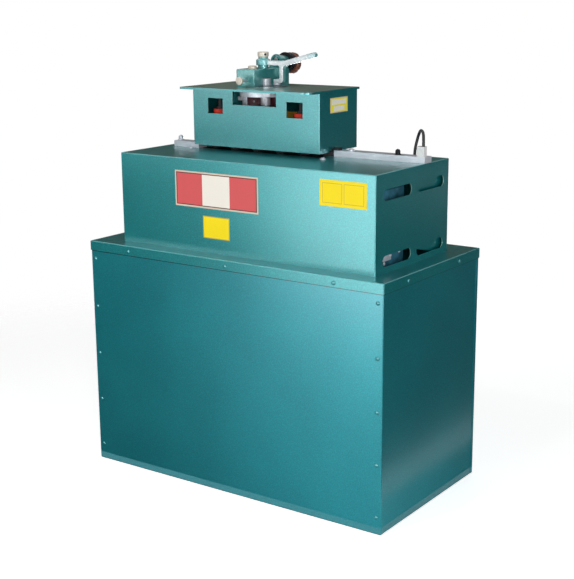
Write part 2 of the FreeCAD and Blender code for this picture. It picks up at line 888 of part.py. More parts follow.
def cushion_spring(place):
    """A solid urethane spring round a stud."""
    bore = stud_radius + bolt_fit
    profile = [(bore, 0), (cushion_radius, 0), (cushion_radius, cushion_height), (bore, cushion_height)]
    return turned(profile, place, ALONG_Z)


def reducer_housing():
    """The closed worm reducer on the bed plate."""
    right = reducer_left + reducer_width
    front = reducer_back - reducer_depth
    case = block(reducer_left, right, front, reducer_back, bed_top, reducer_top)
    edges = upright_edges(reducer_left, right, front, reducer_back, bed_top, reducer_top)
    case = rounded(case, 2 * bend_radius, edges)
    foot = block(reducer_left - reducer_foot, right + reducer_foot, front, reducer_back,
                 bed_top, bed_top + reducer_foot_height)
    input_boss = rod(reducer_boss_radius, Vector(reducer_left - reducer_boss_length, worm_y, worm_axis), ALONG_X,
                     reducer_boss_length)
    output_boss = rod(reducer_boss_radius, Vector(drive_x, reducer_back, drive_axis), ALONG_Y,
                      reducer_boss_length)
    bores = [rod(input_shaft_radius + shaft_fit, Vector(reducer_left - reducer_boss_length - 1, worm_y, worm_axis),
                 ALONG_X, journal_depth + 1),
             rod(output_shaft_radius + shaft_fit,
                 Vector(drive_x, reducer_back + reducer_boss_length + 1 - journal_depth, drive_axis),
                 ALONG_Y, journal_depth)]
    return without(joined([case, foot, input_boss, output_boss]), bores)


def pulley(radius, axis_z):
    """A V-belt pulley about an X axis."""
    floor = radius - belt_height
    bore = input_shaft_radius + shaft_fit
    low = (pulley_width - belt_width) / 2 - running_gap
    profile = [(bore, 0), (radius + pulley_rim, 0), (radius + pulley_rim, low - groove_slope), (floor, low),
               (floor, pulley_width - low), (radius + pulley_rim, pulley_width - low + groove_slope),
               (radius + pulley_rim, pulley_width), (bore, pulley_width)]
    return turned(profile, Vector(pulley_left, worm_y, axis_z), ALONG_X)


def belt_loop(top_radius, bottom_radius, width):
    """The space inside a belt's path round both pulleys."""
    top = Vector(0, worm_y, worm_axis)
    bottom = Vector(0, worm_y, motor_axis_height)
    lean = math.asin((top_radius - bottom_radius) / (worm_axis - motor_axis_height))
    right = Vector(0, math.cos(lean), -math.sin(lean))
    left = Vector(0, -math.cos(lean), -math.sin(lean))
    over = Part.Arc(top + right * top_radius, top + ALONG_Z * top_radius, top + left * top_radius)
    under = Part.Arc(bottom + left * bottom_radius, bottom - ALONG_Z * bottom_radius,
                     bottom + right * bottom_radius)
    down = Part.LineSegment(top + left * top_radius, bottom + left * bottom_radius)
    up = Part.LineSegment(bottom + right * bottom_radius, top + right * top_radius)
    wire = Part.Wire([over.toShape(), down.toShape(), under.toShape(), up.toShape()])
    loop = Part.Face(wire).extrude(Vector(width, 0, 0))
    loop.translate(Vector(belt_x - width / 2, 0, 0))
    return loop


def v_belt():
    """The belt, whose back stands just under the pulleys' rims."""
    inner_top = reducer_pulley_radius - belt_height + running_gap
    inner_bottom = motor_pulley_radius - belt_height + running_gap
    outer = belt_loop(inner_top + belt_height, inner_bottom + belt_height, belt_width)
    return outer.cut(belt_loop(inner_top, inner_bottom, belt_width + 2))


def motor_housing():
    """A foot-mounted motor: drawn shell, end bells, foot and terminal box."""
    bell_radius = motor_radius - motor_bell_step
    profile = [(0, 0), (bell_radius, 0), (motor_radius, motor_bell), (motor_radius, motor_length - motor_bell),
               (bell_radius, motor_length), (0, motor_length)]
    shell = turned(profile, Vector(motor_left, worm_y, motor_axis_height), ALONG_X)
    middle = (motor_left + motor_right) / 2
    foot = block(middle - motor_foot_length / 2, middle + motor_foot_length / 2, worm_y - motor_foot_width / 2,
                 worm_y + motor_foot_width / 2, motor_seat, motor_seat + 3 * motor_plate_thickness)
    box = block(middle - motor_bell, middle + 2 * motor_bell, worm_y + motor_radius - motor_bell,
                worm_y + motor_radius + 2 * motor_bell, motor_axis_height - motor_bell,
                motor_axis_height + 2 * motor_bell)
    bore = rod(input_shaft_radius + shaft_fit, Vector(motor_left - 1, worm_y, motor_axis_height), ALONG_X,
               journal_depth + 1)
    return joined([shell, foot, box]).cut(bore)


def motor_mount():
    """The plate under the motor, resting on the frame's two bearers."""
    depth = motor_foot_width / 2 + 2 * motor_plate_margin
    return block(motor_left, motor_right, worm_y - depth, worm_y + depth, motor_bearer_top(), motor_seat)


def flanger_case():
    """The closed bevel gear case under the flanging head."""
    left = flanger_x - case_half_width
    right = flanger_x + case_half_width
    low = block(left, right, case_front, case_middle, top_plate_top, top_plate_top + case_low_height)
    high = block(left, right, case_middle, case_back, top_plate_top, top_plate_top + case_high_height)
    case = joined([low, high])
    bores = [rod(flanger_shaft_radius + shaft_fit,
                 Vector(flanger_x, flanger_y, top_plate_top + case_low_height - journal_depth / 3), ALONG_Z,
                 journal_depth),
             rod(spindle_radius + shaft_fit, Vector(flanger_x, case_back + 1 - journal_depth / 2,
                                                    flanger_input_axis), ALONG_Y, journal_depth)]
    return without(case, bores)


def case_bracket():
    """A folded bracket that ties the gear case to the top plate."""
    left = flanger_x + case_half_width
    upright = block(left, bracket_right, bracket_front, bracket_front + bracket_sheet,
                    top_plate_top, top_plate_top + bracket_height)
    foot = block(left, bracket_right, bracket_front, bracket_front + bracket_foot,
                 top_plate_top, top_plate_top + bracket_sheet)
    return joined([upright, foot])


def flanger_spindle():
    """The upright spindle with its drive disc below the plate and the main roller above it."""
    start = top_plate_top + case_low_height - journal_depth / 3 + running_gap
    roller_bottom = wear_top + running_gap
    top = roller_bottom + main_roller_height
    shaft = turned([(0, start), (flanger_shaft_radius, start), (flanger_shaft_radius, roller_bottom),
                    (flanger_tip_radius, roller_bottom), (flanger_tip_radius, top), (0, top)],
                   Vector(flanger_x, flanger_y, 0), ALONG_Z)
    bore = flanger_shaft_radius + shaft_fit
    disc = turned([(bore, drive_disc_bottom), (drive_disc_radius, drive_disc_bottom),
                   (drive_disc_radius, drive_disc_top), (bore, drive_disc_top)],
                  Vector(flanger_x, flanger_y, 0), ALONG_Z)
    bore = flanger_tip_radius + shaft_fit
    shoulder = roller_bottom + roller_collar_height
    roller = turned([(bore, roller_bottom), (roller_collar_radius, roller_bottom), (roller_collar_radius, shoulder),
                     (main_roller_radius, shoulder), (main_roller_radius, top), (bore, top)],
                    Vector(flanger_x, flanger_y, 0), ALONG_Z)
    return [shaft, disc, roller]


def wear_disc():
    """The hardened disc that the work slides on, let into the table plate by its hub."""
    bore = flanger_shaft_radius + running_gap
    profile = [(bore, head_top), (wear_hub_radius, head_top), (wear_hub_radius, plate_top),
               (wear_disc_radius, plate_top), (wear_disc_radius, wear_top), (bore, wear_top)]
    return turned(profile, Vector(flanger_x, flanger_y, 0), ALONG_Z)


def flanger_input():
    """The gear case's input shaft and gear."""
    start = case_back + running_gap + 1 - journal_depth / 2
    shaft = rod(spindle_radius, Vector(flanger_x, start, flanger_input_axis), ALONG_Y, gear_back - start)
    return [shaft, gear(idler_teeth, flanger_phases()[1], flanger_x, flanger_input_axis, spindle_radius)]


def flanger_phases():
    """The phases of the flanging head's idler and input gear."""
    middle = station_count // 2
    centre = idler_centre()
    up = math.atan2(centre.z - upper_axis, centre.x - stations[middle])
    idler = meshed_phase(main_teeth, train_phases()[2][middle], up, idler_teeth)
    on = math.atan2(flanger_input_axis - centre.z, flanger_x - centre.x)
    return idler, meshed_phase(idler_teeth, idler, on, idler_teeth)


def flanger_body():
    """The cast body of the flanging head: block, rear pillar with its tilted boss, and roller recess."""
    main = block(body_left, body_right, body_front, pillar_front, plate_top, body_top)
    middle = (plate_top + body_top) / 2
    main = rounded(main, casting_round,
                   [Vector(body_left, body_front, middle), Vector(body_right, body_front, middle),
                    Vector((body_left + body_right) / 2, body_front, body_top),
                    Vector(body_left, (body_front + pillar_front) / 2, body_top),
                    Vector(body_right, (body_front + pillar_front) / 2, body_top)])
    shoulder = plate_top + pillar_shoulder
    outline = [Vector(pillar_left, pillar_front, plate_top), Vector(pillar_right, pillar_front, plate_top),
               Vector(pillar_right, pillar_front, shoulder), Vector(boss_x + boss_radius, pillar_front, boss_axis),
               Vector(boss_x - boss_radius, pillar_front, boss_axis), Vector(pillar_left, pillar_front, shoulder)]
    face = Part.Face(Part.makePolygon(outline + outline[:1]))
    pillar = face.extrude(Vector(0, pillar_back - pillar_front, 0))
    boss = rod(boss_radius, boss_point, boss_direction, boss_length)
    casting = joined([main, pillar, boss])
    recess_bottom = plate_top - 1
    cutters = [
        rod(wear_disc_radius + running_gap, Vector(flanger_x, flanger_y, recess_bottom), ALONG_Z,
            wear_disc_height + 1),
        rod(recess_radius, Vector(flanger_x, flanger_y, recess_bottom), ALONG_Z, recess_height + 1),
        block(flanger_x, body_right + 1, flanger_y - recess_radius, pillar_front - side_gap,
              recess_bottom, plate_top + recess_height),
        rod(tension_radius + shaft_fit, boss_point - boss_direction * 2 * boss_length, boss_direction,
            4 * boss_length),
        rod(tension_recess_radius, boss_point - boss_direction * tension_recess, boss_direction,
            2 * tension_recess),
        rod(plug_stem + shaft_fit, Vector(plug_x, plug_y, body_top - plug_depth), ALONG_Z, 2 * plug_depth),
        rod(pivot_radius + shaft_fit, Vector(pivot_x, pivot_y, body_top - pivot_depth), ALONG_Z, 2 * pivot_depth),
        rod(thumb_radius + shaft_fit, Vector(thumb_x, body_front - 1, plate_top + thumb_rise), ALONG_Y,
            thumb_depth + 1)]
    return without(casting, cutters)


def oil_plug():
    """A knurled plug over the casting's oil hole."""
    flat = plug_height - 1.5
    profile = [(0, -plug_depth), (plug_stem, -plug_depth), (plug_stem, 0), (plug_radius, 0),
               (plug_radius, flat), (plug_radius - 2, plug_height), (0, plug_height)]
    return turned(profile, Vector(plug_x, plug_y, body_top), ALONG_Z)


def pivot_stud():
    """The shouldered stud that the lever turns on, and the cap clamped on its end."""
    base = Vector(pivot_x, pivot_y, 0)
    stud_top = cap_bottom + cap_seat
    stud = turned([(0, body_top - pivot_depth), (pivot_radius, body_top - pivot_depth), (pivot_radius, body_top),
                   (pivot_collar_radius, body_top), (pivot_collar_radius, body_top + pivot_collar_height),
                   (pivot_radius, body_top + pivot_collar_height), (pivot_radius, stud_top), (0, stud_top)],
                  base, ALONG_Z)
    bore = pivot_radius + shaft_fit
    top = cap_bottom + cap_height
    inner = cap_radius - cap_chamfer
    cap = turned([(bore, cap_bottom), (inner, cap_bottom), (cap_radius, cap_bottom + cap_chamfer),
                  (cap_radius, top - cap_chamfer), (inner, top), (0, top), (0, stud_top + shaft_fit),
                  (bore, stud_top + shaft_fit)], base, ALONG_Z)
    turn = math.radians(set_screw_turn)
    across = Vector(math.sin(turn), -math.cos(turn), 0)
    hole_start = Vector(pivot_x, pivot_y, cap_bottom + cap_height / 2) + across * pivot_radius
    hole = rod(set_screw_radius, hole_start, across, cap_radius)
    return [stud, cap.cut(hole)]


def flanger_lever():
    """The cast lever: hub, arm, drop arm with its turned-in foot, and the rising handle."""
    low = hub_bottom + 1
    high = low + lever_arm_height
    foot_bottom = wear_top + lever_foot_gap
    foot_top = foot_bottom + lever_foot_height
    start_y = pivot_y - lever_depth / 2
    end_z = plate_top + body_height + handle_end_rise
    rise = math.atan2(end_z - (low + high) / 2, handle_end_x - lever_drop_right)
    across = Vector(-math.sin(rise), 0, math.cos(rise))
    end = Vector(handle_end_x, start_y, end_z)
    handle_top = end + across * handle_end_radius
    handle_bottom = end - across * handle_end_radius
    tip = end + Vector(math.cos(rise), 0, math.sin(rise)) * handle_end_radius
    corners = [Vector(pivot_x, start_y, low), Vector(lever_drop_left, start_y, low),
               Vector(lever_drop_left, start_y, foot_top), Vector(lever_foot_left, start_y, foot_top),
               Vector(lever_foot_left, start_y, foot_bottom), Vector(lever_drop_right, start_y, foot_bottom),
               Vector(lever_drop_right, start_y, low - 2), handle_bottom]
    last = [handle_top, Vector(lever_drop_right + 2, start_y, high), Vector(pivot_x, start_y, high)]
    edges = [Part.LineSegment(a, b).toShape() for a, b in zip(corners, corners[1:])]
    edges.append(Part.Arc(handle_bottom, tip, handle_top).toShape())
    edges += [Part.LineSegment(a, b).toShape() for a, b in zip(last, last[1:])]
    edges.append(Part.LineSegment(last[-1], corners[0]).toShape())
    bar = Part.Face(Part.Wire(edges)).extrude(Vector(0, lever_depth, 0))
    inner = [Vector(lever_drop_left, pivot_y, low), Vector(lever_drop_left, pivot_y, foot_top)]
    outer = [Vector(lever_drop_right, pivot_y, foot_bottom), Vector(lever_drop_right, pivot_y, low - 2)]
    bar = rounded(rounded(bar, lever_inner_round, inner), lever_outer_round, outer)
    whole_height = hub_height + hub_neck_height
    hub = turned([(0, 0), (hub_radius, 0), (hub_radius, hub_height), (hub_neck_radius, hub_height + hub_slope),
                  (hub_neck_radius, whole_height), (0, whole_height)],
                 Vector(pivot_x, pivot_y, hub_bottom), ALONG_Z)
    lever = joined([bar, hub])
    bore = rod(pivot_radius + shaft_fit, Vector(pivot_x, pivot_y, hub_bottom - 1), ALONG_Z, whole_height + 2)
    pin_hole = rod(foot_pin_radius + shaft_fit, Vector(foot_roller_x, foot_roller_y, foot_bottom - 1), ALONG_Z,
                   lever_foot_height)
    return without(lever, [bore, pin_hole])


def foot_roller():
    """The small roller on its pin under the lever's foot."""
    foot_bottom = wear_top + lever_foot_gap
    bottom = foot_bottom - running_gap - foot_roller_height
    pin_top = foot_bottom - 1 + lever_foot_height - running_gap
    profile = [(0, bottom), (foot_roller_radius, bottom), (foot_roller_radius, foot_bottom - running_gap),
               (foot_pin_radius, foot_bottom - running_gap), (foot_pin_radius, pin_top), (0, pin_top)]
    return turned(profile, Vector(foot_roller_x, foot_roller_y, 0), ALONG_Z)


def helix_point(radius, pitch, turn):
    """The point and the unit direction of a helix after so many turns."""
    angle = 2 * math.pi * turn
    point = Vector(radius * math.cos(angle), radius * math.sin(angle), pitch * turn)
    along = Vector(-radius * math.sin(angle), radius * math.cos(angle), pitch / (2 * math.pi))
    return point, along.normalize()


def arc_between(start, corner, end):
    """The arc that leaves start and meets end along the two sides of a corner."""
    chord = end - start
    weight = chord.Length / 2 / (corner - start).Length
    middle = (start + corner * (2 * weight) + end) * (1 / (2 + 2 * weight))
    return Part.Arc(start, middle, end).toShape()


def biarc(start, leaving, end, arriving):
    """Two arcs from start to end that keep both directions and meet smoothly."""
    across = end - start
    both = leaving + arriving
    spread = 2 * (1 - leaving.dot(arriving))
    lean = across.dot(both)
    reach = (math.sqrt(lean ** 2 + spread * across.dot(across)) - lean) / spread
    first = start + leaving * reach
    last = end - arriving * reach
    meeting = (first + last) * 0.5
    return [arc_between(start, first, meeting), arc_between(meeting, last, end)]


def tension_spring():
    """The compression spring between the boss and the knob, as one unbroken wire."""
    pitch = spring_length / spring_turns
    arcs = []
    for half in range(2 * spring_turns):
        start, leaving = helix_point(spring_mean_radius, pitch, half / 2)
        end, arriving = helix_point(spring_mean_radius, pitch, (half + 1) / 2)
        arcs += biarc(start, leaving, end, arriving)
    start, leaving = helix_point(spring_mean_radius, pitch, 0)
    section = Part.Wire(Part.makeCircle(spring_wire_radius, start, leaving))
    path = Part.Wire(arcs)
    wire = path.makePipeShell([section], True, False)
    turns_apart = [arc.CenterOfMass for arc in arcs]
    gap = min(a.distanceToPoint(b) for a, b in zip(turns_apart, turns_apart[4:])) - 2 * spring_wire_radius
    print("spring least gap", round(gap, 2), "volume share",
          round(wire.Volume / (math.pi * spring_wire_radius ** 2 * path.Length), 4))
    base = boss_point + boss_direction * (washer_start + spring_washer_thickness + spring_seat)
    return placed(wire, base, boss_direction)


def tension_knob():
    """The tension screw, the spring's washer on it and the lobed knob on its end."""
    knob_start = washer_start + spring_washer_thickness + 2 * spring_seat + spring_length
    screw = rod(tension_radius, boss_point, boss_direction, knob_start + knob_thickness / 2)
    bore = tension_radius + shaft_fit
    inner = knob_radius - knob_round
    profile = [(bore, 0), (inner, 0), (knob_radius, knob_round), (knob_radius, knob_thickness - knob_round),
               (inner, knob_thickness), (0, knob_thickness), (0, knob_thickness / 2 + shaft_fit),
               (bore, knob_thickness / 2 + shaft_fit)]
    knob = turned(profile, ORIGIN, ALONG_Z)
    scallops = []
    for lobe in range(knob_lobes):
        angle = 2 * math.pi * lobe / knob_lobes
        reach = knob_radius + knob_lobe_radius - knob_lobe_depth
        centre = Vector(reach * math.cos(angle), reach * math.sin(angle), -1)
        scallops.append(rod(knob_lobe_radius, centre, ALONG_Z, knob_thickness + 2))
    knob = placed(without(knob, scallops), boss_point + boss_direction * knob_start, boss_direction)
    washer = turned([(bore, 0), (spring_washer_radius, 0), (spring_washer_radius, spring_washer_thickness),
                     (bore, spring_washer_thickness)], boss_point + boss_direction * washer_start, boss_direction)
    return [screw, washer, knob]


def thumb_screw():
    """The thumb screw in the casting's front, with a flat disc head."""
    end = thumb_depth + thumb_reach
    neck = end - thumb_neck
    profile = [(0, 0), (thumb_radius, 0), (thumb_radius, neck), (thumb_neck_radius, neck), (thumb_neck_radius, end),
               (thumb_disc_radius, end), (thumb_disc_radius, end + thumb_disc), (0, end + thumb_disc)]
    start = Vector(thumb_x, body_front + thumb_depth - running_gap, plate_top + thumb_rise)
    return turned(profile, start, Vector(0, -1, 0))


def guide_bolt_places():
    return [(entry_bolt_a, entry_front + guide_bolt_inset), (entry_bolt_b, entry_front + guide_bolt_inset),
            (exit_bolt, exit_front + guide_width / 2)]


def guide_bolt(x, y):
    """A washer and bolt that clamp a guide to the guard's top: one button head and two domed nuts."""
    base = Vector(x, y, guide_top)
    under = guide_height + guard_sheet + bolt_tail
    stem = turned([(0, -under), (guide_bolt_radius, -under), (guide_bolt_radius, 0), (washer_radius, 0),
                   (washer_radius, washer_height), (0, washer_height)], base, ALONG_Z)
    if x == entry_bolt_a:
        head = turned([(0, washer_height), (button_radius, washer_height), (button_radius, bolt_head_height / 2),
                       (guide_bolt_radius, bolt_head_height), (0, bolt_head_height)], base, ALONG_Z)
        return joined([stem, head])
    half = bolt_head_across / 2
    centre = base + Vector(0, 0, washer_height + bolt_dome_height)
    ball = Part.makeSphere(half, centre).common(rod(half, centre, ALONG_Z, half))
    neck = rod(half, base + Vector(0, 0, washer_height), ALONG_Z, bolt_dome_height)
    return joined([stem, neck, ball])


def guide(x0, x1, front):
    """A flat bar that guides the sheet's edge, drilled for its bolts."""
    bar = block(x0, x1, front, front + guide_width, guard_top, guide_top)
    holes = [rod(guide_bolt_radius + bolt_fit, Vector(x, y, guard_top - 1), ALONG_Z, guide_height + 2)
             for x, y in guide_bolt_places()]
    return without(bar, holes)


def entry_shoe():
    """The black shoe that leads the sheet's edge from the bar to the first rolls."""
    tongue_bottom = guard_top + running_gap
    tongue = block(shoe_left, entry_left, entry_front, entry_front + shoe_width,
                   tongue_bottom, tongue_bottom + shoe_tongue)
    riser = block(entry_left - shoe_riser, entry_left, entry_front, entry_front + shoe_width,
                  tongue_bottom, guide_top + shoe_height)
    pad = block(entry_left - shoe_riser, shoe_right, entry_front, entry_front + shoe_width,
                guide_top, guide_top + shoe_height)
    return joined([tongue, riser, pad])


def slot_screw_places():
    return [(slot_screw_left, slot_screw_small_washer), (slot_screw_right, slot_screw_washer)]


def slot_screw(x, washer):
    """A pan-head screw and washer at an end of the sheet slot."""
    head = min(slot_screw_head, washer - 1)
    profile = [(0, -bolt_tail), (slot_screw_stem, -bolt_tail), (slot_screw_stem, 0), (washer, 0),
               (washer, washer_height), (head, washer_height),
               (head, washer_height + slot_screw_rise), (0, washer_height + slot_screw_rise)]
    return turned(profile, Vector(x, slot_screw_y, guard_top), ALONG_Z)


def limit_switch():
    """The small switch box on the entry guide's end."""
    x0 = switch_left
    x1 = switch_left + switch_width
    y0 = entry_front + switch_inset
    y1 = y0 + switch_depth
    box = block(x0, x1, y0, y1, guide_top, guide_top + switch_height)
    edges = upright_edges(x0, x1, y0, y1, guide_top, guide_top + switch_height)
    return rounded(box, switch_round, edges)


def lead_gland():
    """The gland through the guard's top that takes the switch lead."""
    return turned([(0, -bolt_tail), (gland_radius - 2.5, -bolt_tail), (gland_radius - 2.5, 0), (gland_radius, 0),
                   (gland_radius, gland_height - 2), (gland_radius - 2, gland_height), (0, gland_height)],
                  Vector(gland_x, gland_y, guard_top), ALONG_Z)


def lead_route():
    """The points that the switch lead passes, from the switch box to its gland."""
    start = Vector(switch_left + switch_width - lead_exit_inset, entry_front + switch_inset + switch_depth / 2,
                   guide_top + switch_height)
    end = Vector(gland_x, gland_y, guard_top + gland_height)
    loop = [Vector(0, 0, 0.465), Vector(-0.18, 0.272, 0.89), Vector(-0.535, 0.625, 1), Vector(-0.772, 0.885, 0.885),
            Vector(-1.038, 1.108, 0.513)]
    return [start] + [start + step * lead_crest for step in loop] + [end + ALONG_Z * (0.473 * lead_crest), end]


def tube_along(points, radius):
    """A round tube along straight runs joined by tangent arcs, and each arc's radius."""
    edges = []
    radii = []
    previous = points[0]
    for before, corner, after in zip(points, points[1:], points[2:]):
        back = (before - corner)
        on = (after - corner)
        turn = math.pi - back.getAngle(on)
        reach = 0.45 * min(back.Length, on.Length)
        back.normalize()
        on.normalize()
        bend = reach / math.tan(turn / 2)
        first = corner + back * reach
        last = corner + on * reach
        middle_way = (back + on).normalize()
        centre = corner + middle_way * math.hypot(bend, reach)
        edges.append(Part.LineSegment(previous, first).toShape())
        edges.append(Part.Arc(first, centre - middle_way * bend, last).toShape())
        radii.append(round(bend, 1))
        previous = last
    edges.append(Part.LineSegment(previous, points[-1]).toShape())
    path = Part.Wire(edges)
    section = Part.Wire(Part.makeCircle(radius, points[0], points[1] - points[0]))
    tube = path.makePipeShell([section], True, False)
    print("lead radii", radii, "length", round(path.Length, 1),
          "volume share", round(tube.Volume / (math.pi * radius ** 2 * path.Length), 4))
    return tube


def drum_switch():
    """The reversing switch on the left ledge, with the gland for the supply."""
    x0 = drum_x - drum_width / 2
    x1 = drum_x + drum_width / 2
    y0 = drum_y - drum_depth / 2
    y1 = drum_y + drum_depth / 2
    top = stand_height + drum_height
    box = block(x0, x1, y0, y1, stand_height, top)
    box = rounded(box, drum_round, upright_edges(x0, x1, y0, y1, stand_height, top))
    bore = rod(drum_shaft_radius + shaft_fit, Vector(drum_x, drum_y, top - drum_shaft_depth), ALONG_Z,
               drum_shaft_depth + 1)
    seat = Vector(drum_x, y1, stand_height + drum_height / 4)
    gland = turned([(supply_gland_bore, 0), (supply_gland_radius, 0), (supply_gland_radius, supply_gland_length / 2),
                    (supply_gland_radius - supply_gland_taper, supply_gland_length), (supply_gland_bore, supply_gland_length)],
                   seat, ALONG_Y)
    return [box.cut(bore), gland]


def drum_handle():
    """The switch's pointer handle on its shaft."""
    top = stand_height + drum_height
    shaft = rod(drum_shaft_radius, Vector(drum_x, drum_y, top - drum_shaft_depth + running_gap), ALONG_Z,
                drum_shaft_depth + handle_gap)
    bottom = top + handle_gap
    root = rod(handle_width, Vector(drum_x, drum_y, bottom), ALONG_Z, handle_thickness)
    bar = block(drum_x - handle_width / 2, drum_x + handle_width / 2, drum_y - handle_length, drum_y,
                bottom, bottom + handle_thickness)
    tip = rod(handle_width / 2, Vector(drum_x, drum_y - handle_length, bottom), ALONG_Z, handle_thickness)
    return joined([root, bar, tip, shaft])


os.makedirs("parts", exist_ok=True)

save("stand_frame", stand_frame())
save("stand_front_panel", [wrapped_panel(-1)])
save("stand_back_panel", [wrapped_panel(1)])
save("stand_end_panels", [end_panel(side) for side in (-1, 1)])
save("stand_lid", [stand_lid()])
save("cabinet_screws", [cabinet_screw(*place) for place in screw_places()])

save("motor_housing", [motor_housing()])
motor_shaft = rod(input_shaft_radius, Vector(pulley_left, worm_y, motor_axis_height), ALONG_X,
                  motor_left + journal_depth - running_gap - pulley_left)
save("motor_pulley", [motor_shaft, pulley(motor_pulley_radius, motor_axis_height)])
save("v_belt", [v_belt()])
worm_shaft = rod(input_shaft_radius, Vector(pulley_left, worm_y, worm_axis), ALONG_X,
                 reducer_left - reducer_boss_length + journal_depth - running_gap - pulley_left)
save("reducer_pulley", [worm_shaft, pulley(reducer_pulley_radius, worm_axis)])
save("reducer_housing", [reducer_housing()])
output_start = reducer_back + reducer_boss_length + 1 - journal_depth + running_gap
output_shaft = rod(output_shaft_radius, Vector(drive_x, output_start, drive_axis), ALONG_Y,
                   gear_back - output_start)
lower_phases, idler_phases, upper_phases = train_phases()
drive_phase = meshed_phase(idler_teeth, idler_phases[len(idlers) // 2], -math.pi / 2, drive_teeth)
save("drive_gear", [output_shaft, gear(drive_teeth, drive_phase, drive_x, drive_axis, output_shaft_radius)])

bed = block(bed_left, bed_right, bed_front, bed_back, stand_height, bed_top)
save("bed_plate", [bed.cut(belt_opening(stand_height - 1, bed_top + 1))])
save("front_bearing_plate", [bearing_plate(bearing_front_y)])
save("rear_bearing_plate", [bearing_plate(bearing_rear_y)] + idler_pins())
save("plate_spacers", plate_spacers())
save("top_plate", [top_plate()])
for number, x in enumerate(stations):
    fold = roll_step * (number + 1)
    save("lower_spindle_" + str(number + 1), spindle(x, lower_axis, fold, lower_phases[number]))
    save("upper_spindle_" + str(number + 1), spindle(x, upper_axis, -fold, upper_phases[number]))
for number, x in enumerate(idlers):
    save("idler_gear_" + str(number + 1), [gear(idler_teeth, idler_phases[number], x, idler_axis, pin_radius)])

save("main_guard", [main_guard()])
save("guard_baffles", [guard_baffle(side) for side in (-1, 1)])
save("head_guard", [head_guard()])
save("table_studs", [table_stud(place) for place in stud_places()])
save("cushion_springs", [cushion_spring(place) for place in stud_places()])
save("table_plate", [table_plate()])

save("flanger_gearcase", [flanger_case()])
save("gearcase_bracket", [case_bracket()])
save("flanger_idler", [gear(idler_teeth, flanger_phases()[0], idler_centre().x, idler_centre().z, pin_radius)])
save("flanger_input_gear", flanger_input())
save("flanger_spindle", flanger_spindle())
save("wear_disc", [wear_disc()])
save("flanger_body", [flanger_body()])
save("oil_plug", [oil_plug()])
save("pivot_stud", pivot_stud())
save("flanger_lever", [flanger_lever()])
save("foot_roller", [foot_roller()])
save("tension_spring", [tension_spring()])
save("tension_knob", tension_knob())
save("thumb_screw", [thumb_screw()])

save("entry_guide", [guide(entry_left, entry_right, entry_front)])
save("exit_guide", [guide(exit_left, exit_right, exit_front)])
save("entry_shoe", [entry_shoe()])
bolts = [guide_bolt(x, y) for x, y in guide_bolt_places()]
save("guide_bolts", bolts + [slot_screw(*place) for place in slot_screw_places()])
save("limit_switch", [limit_switch()])
save("switch_lead", [tube_along(lead_route(), lead_radius)])
save("lead_gland", [lead_gland()])
save("drum_switch", drum_switch())
save("drum_handle", [drum_handle()])
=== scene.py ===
import math

import bmesh
import bpy
from mathutils import Matrix, Vector


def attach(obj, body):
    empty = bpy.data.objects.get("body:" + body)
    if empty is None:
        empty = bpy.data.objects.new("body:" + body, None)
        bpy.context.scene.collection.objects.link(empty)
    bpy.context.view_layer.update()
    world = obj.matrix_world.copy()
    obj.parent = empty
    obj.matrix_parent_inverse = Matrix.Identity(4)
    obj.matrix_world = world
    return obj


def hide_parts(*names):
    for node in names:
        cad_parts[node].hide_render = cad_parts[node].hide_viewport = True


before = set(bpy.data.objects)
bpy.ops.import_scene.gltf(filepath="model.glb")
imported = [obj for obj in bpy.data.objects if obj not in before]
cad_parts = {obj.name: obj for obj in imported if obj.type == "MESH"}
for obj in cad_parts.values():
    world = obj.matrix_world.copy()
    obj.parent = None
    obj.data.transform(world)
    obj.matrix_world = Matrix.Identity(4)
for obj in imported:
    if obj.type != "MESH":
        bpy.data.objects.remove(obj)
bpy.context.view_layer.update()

# Camera. It stands to the front right of the machine, a little above it, where the photograph was
# taken from.
camera_place = Vector((2.0077, -2.8085, 1.3848))
camera_azimuth = math.radians(35.29)
camera_elevation = math.radians(13.71)
camera_roll = math.radians(-0.44)
camera_lens = 75.94
toward = Vector((math.sin(camera_azimuth) * math.cos(camera_elevation),
                 -math.cos(camera_azimuth) * math.cos(camera_elevation),
                 math.sin(camera_elevation)))
level = Vector((math.cos(camera_azimuth), math.sin(camera_azimuth), 0))
upright = toward.cross(level)
across = level * math.cos(camera_roll) + upright * math.sin(camera_roll)
upward = upright * math.cos(camera_roll) - level * math.sin(camera_roll)
camera = bpy.data.objects.new("camera", bpy.data.cameras.new("camera"))
bpy.context.scene.collection.objects.link(camera)
camera.data.lens = camera_lens
camera.data.sensor_width = 36
camera.rotation_mode = "QUATERNION"
camera.rotation_quaternion = Matrix((across, upward, toward)).transposed().to_quaternion()
camera.location = camera_place
camera.data.clip_end = 100
bpy.context.scene.camera = camera
bpy.context.scene.view_settings.view_transform = "Standard"


# Studio. A pale floor that fades into a white surround, eight soft lamps, and dim coloured cards
# round the machine that only reflections see. The card on the floor grows lighter to the front
# right, which gives the front sheet its sheen.
class Flow:
    """A socket of a shader tree. Arithmetic on it adds Math nodes."""

    def __init__(self, finish, socket):
        self.finish = finish
        self.socket = socket

    def work(self, operation, first, second):
        return self.finish.node("ShaderNodeMath", {"operation": operation}, {0: first, 1: second})

    def __add__(self, other):
        return self.work("ADD", self, other)

    def __radd__(self, other):
        return self.work("ADD", other, self)

    def __sub__(self, other):
        return self.work("SUBTRACT", self, other)

    def __rsub__(self, other):
        return self.work("SUBTRACT", other, self)

    def __mul__(self, other):
        return self.work("MULTIPLY", self, other)

    def __rmul__(self, other):
        return self.work("MULTIPLY", other, self)

    def step(self, low, high):
        """From 0 at low to 1 at high, smoothly."""
        return self.finish.node("ShaderNodeMapRange", {"interpolation_type": "SMOOTHSTEP"},
                                {"Value": self, "From Min": low, "From Max": high})


